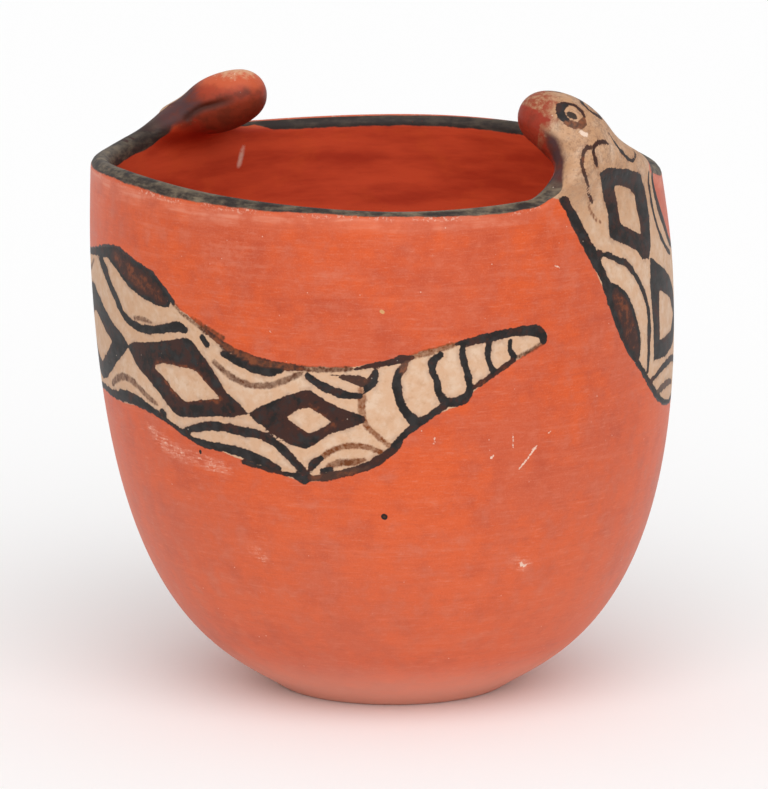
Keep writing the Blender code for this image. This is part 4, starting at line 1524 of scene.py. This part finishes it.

    # black paint, redder where it is thin, with grey patches of painted sheen
    inkMask = (field["ink"] + ragged).eased(-0.12, 0.14)
    tone = field["inkTone"] + field["inkThin"] * 1.1 + (wash - 0.5) * 1.4 + (mottle - 0.5) * 1.1
    # painted sheen: grey patches on the black paint
    ink = slip.mixed(paint["ink"], paint["inkSheenGrey"], smear.eased(0.4, 0.65) * 0.6)
    ink = ink.covered("inkBrown", tone.eased(0.1, 0.45) * 0.9)
    ink = ink.covered("inkAmber", tone.eased(0.55, 1.1) * mottle.eased(0.3, 0.62) * 0.9)
    ink = ink.covered("inkBrown", (1 - field["ink"].eased(-0.1, 0.35)) * 0.6)
    colour = colour.covered(ink, inkMask * (1 - field["inkThin"] * (0.3 + 0.6 * mottle)))

    # specks, chips, scratches and pits
    speckMask = slip.specks(plain, 0.30, 0.07) * blotches.eased(0.46, 0.6) * (1 - inside)
    turned = slip.places((1.0, 1.0, 1.0), (40.0, 20.0, 0.0))
    darkMask = slip.specks(turned, 0.42, 0.06) * broad.eased(0.42, 0.6)
    colour = colour.covered("chip", speckMask * 0.5)
    colour = colour.covered("insideDark", darkMask * 0.6)
    paleMask = (field["pale"] + rough * 1.1 + grain * 0.4 - 0.8).eased(-0.12, 0.18) * (1 - inside)
    colour = colour.covered("chip", paleMask * 0.75)
    # a soft pale streak on the inner wall
    colour = colour.covered("chip", (field["pale"] + smear * 1.4 - 0.7).eased(-0.6, 0.6) * inside * 0.55)
    colour = colour.covered("pit", field["tan"].eased(-0.1, 0.1))
    nickMask = field["nick"].eased(-0.1, 0.1)
    colour = colour.covered("ink", nickMask)
    colour = colour.covered("faintBrown", field["nick"].eased(0.35, 0.65) * 0.7)
    # painted shade: dark brown along the crease under the head
    colour = colour.covered("inkBrown", field["crease"].eased(-1.5, 0.3) * 0.85)

    roughness = 0.38 + 0.14 * streaks + 0.1 * creamMask + 0.14 * inside + 0.12 * rimMask
    roughness = roughness + 0.1 * (grain - 0.5)
    bumps = 0.16 * slip.clouds(plain, 16.0, 2.0) + 0.06 * blotches + 0.018 * streaks + 0.01 * scratches
    bumps = bumps + 0.012 * grain + 0.03 * creamMask + 0.015 * inkMask
    bumps = bumps + (0.05 * mottle + 0.03 * rough) * onFace
    bumps = bumps - 0.12 * nickMask - 0.05 * paleMask - 0.04 * darkMask + 0.03 * speckMask
    normal = slip.node("ShaderNodeBump", {}, {"Height": bumps, "Distance": 0.001, "Strength": 1.0})
    tree.links.new(colour.socket, shader.inputs["Base Color"])
    tree.links.new(roughness.socket, shader.inputs["Roughness"])
    tree.links.new(normal.socket, shader.inputs["Normal"])
    return material


paintNames = [layer.name for layer in clayJar.data.attributes if layer.data_type == "FLOAT"]
clayJar.data.materials.append(paintedClay())
print("clay painted")

camera = {"rise": 11.53, "distance": 1.6, "aimHeight": 0.070, "lens": 281.55, "shift": (0.002, 0.0256)}


def makeCamera():
    rise = math.radians(camera["rise"])
    data = bpy.data.cameras.new("camera")
    data.sensor_width = 36.0
    data.lens = camera["lens"]
    data.shift_x, data.shift_y = camera["shift"]
    made = bpy.data.objects.new("camera", data)
    distance = camera["distance"]
    made.location = (0.0, -distance * math.cos(rise), camera["aimHeight"] + distance * math.sin(rise))
    made.rotation_euler = (math.pi / 2 - rise, 0.0, 0.0)
    bpy.context.scene.collection.objects.link(made)
    bpy.context.scene.camera = made


makeCamera()

studio = {
    "surround": 0.66,
    "sunPower": 1.8,
    "sunHeight": 42.0,
    "sunSide": 6.0,
    "sunSoftness": 70.0,
    "floorReach": 4.0,
    "floorColour": (0.96, 0.96, 0.96, 1),
    "floorRoughness": 0.9,
}


def makeLight():
    data = bpy.data.lights.new("soft_sun", "SUN")
    data.energy = studio["sunPower"]
    data.angle = math.radians(studio["sunSoftness"])
    made = bpy.data.objects.new("soft_sun", data)
    made.rotation_euler = (math.radians(90.0 - studio["sunHeight"]), 0.0, math.radians(studio["sunSide"]))
    bpy.context.scene.collection.objects.link(made)
    world = bpy.data.worlds.new("studio")
    bpy.context.scene.world = world
    world.use_nodes = True
    world.node_tree.nodes["Background"].inputs["Color"].default_value = (1.0, 1.0, 1.0, 1.0)
    world.node_tree.nodes["Background"].inputs["Strength"].default_value = studio["surround"]
    bpy.context.scene.view_settings.view_transform = "Standard"


makeLight()


def makeFloor():
    reach = studio["floorReach"]
    data = bpy.data.meshes.new("floor")
    corners = [(x * reach, y * reach, 0) for x, y in ((-1, -1), (1, -1), (1, 1), (-1, 1))]
    data.from_pydata(corners, [], [(0, 1, 2, 3)])
    made = bpy.data.objects.new("floor", data)
    bpy.context.scene.collection.objects.link(made)
    pale = bpy.data.materials.new("pale_floor")
    pale.use_nodes = True
    sockets = pale.node_tree.nodes["Principled BSDF"].inputs
    sockets["Base Color"].default_value = studio["floorColour"]
    sockets["Roughness"].default_value = studio["floorRoughness"]
    data.materials.append(pale)
    return made


floor = makeFloor()
print("studio ready")

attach(clayJar, "root")
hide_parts("jar")
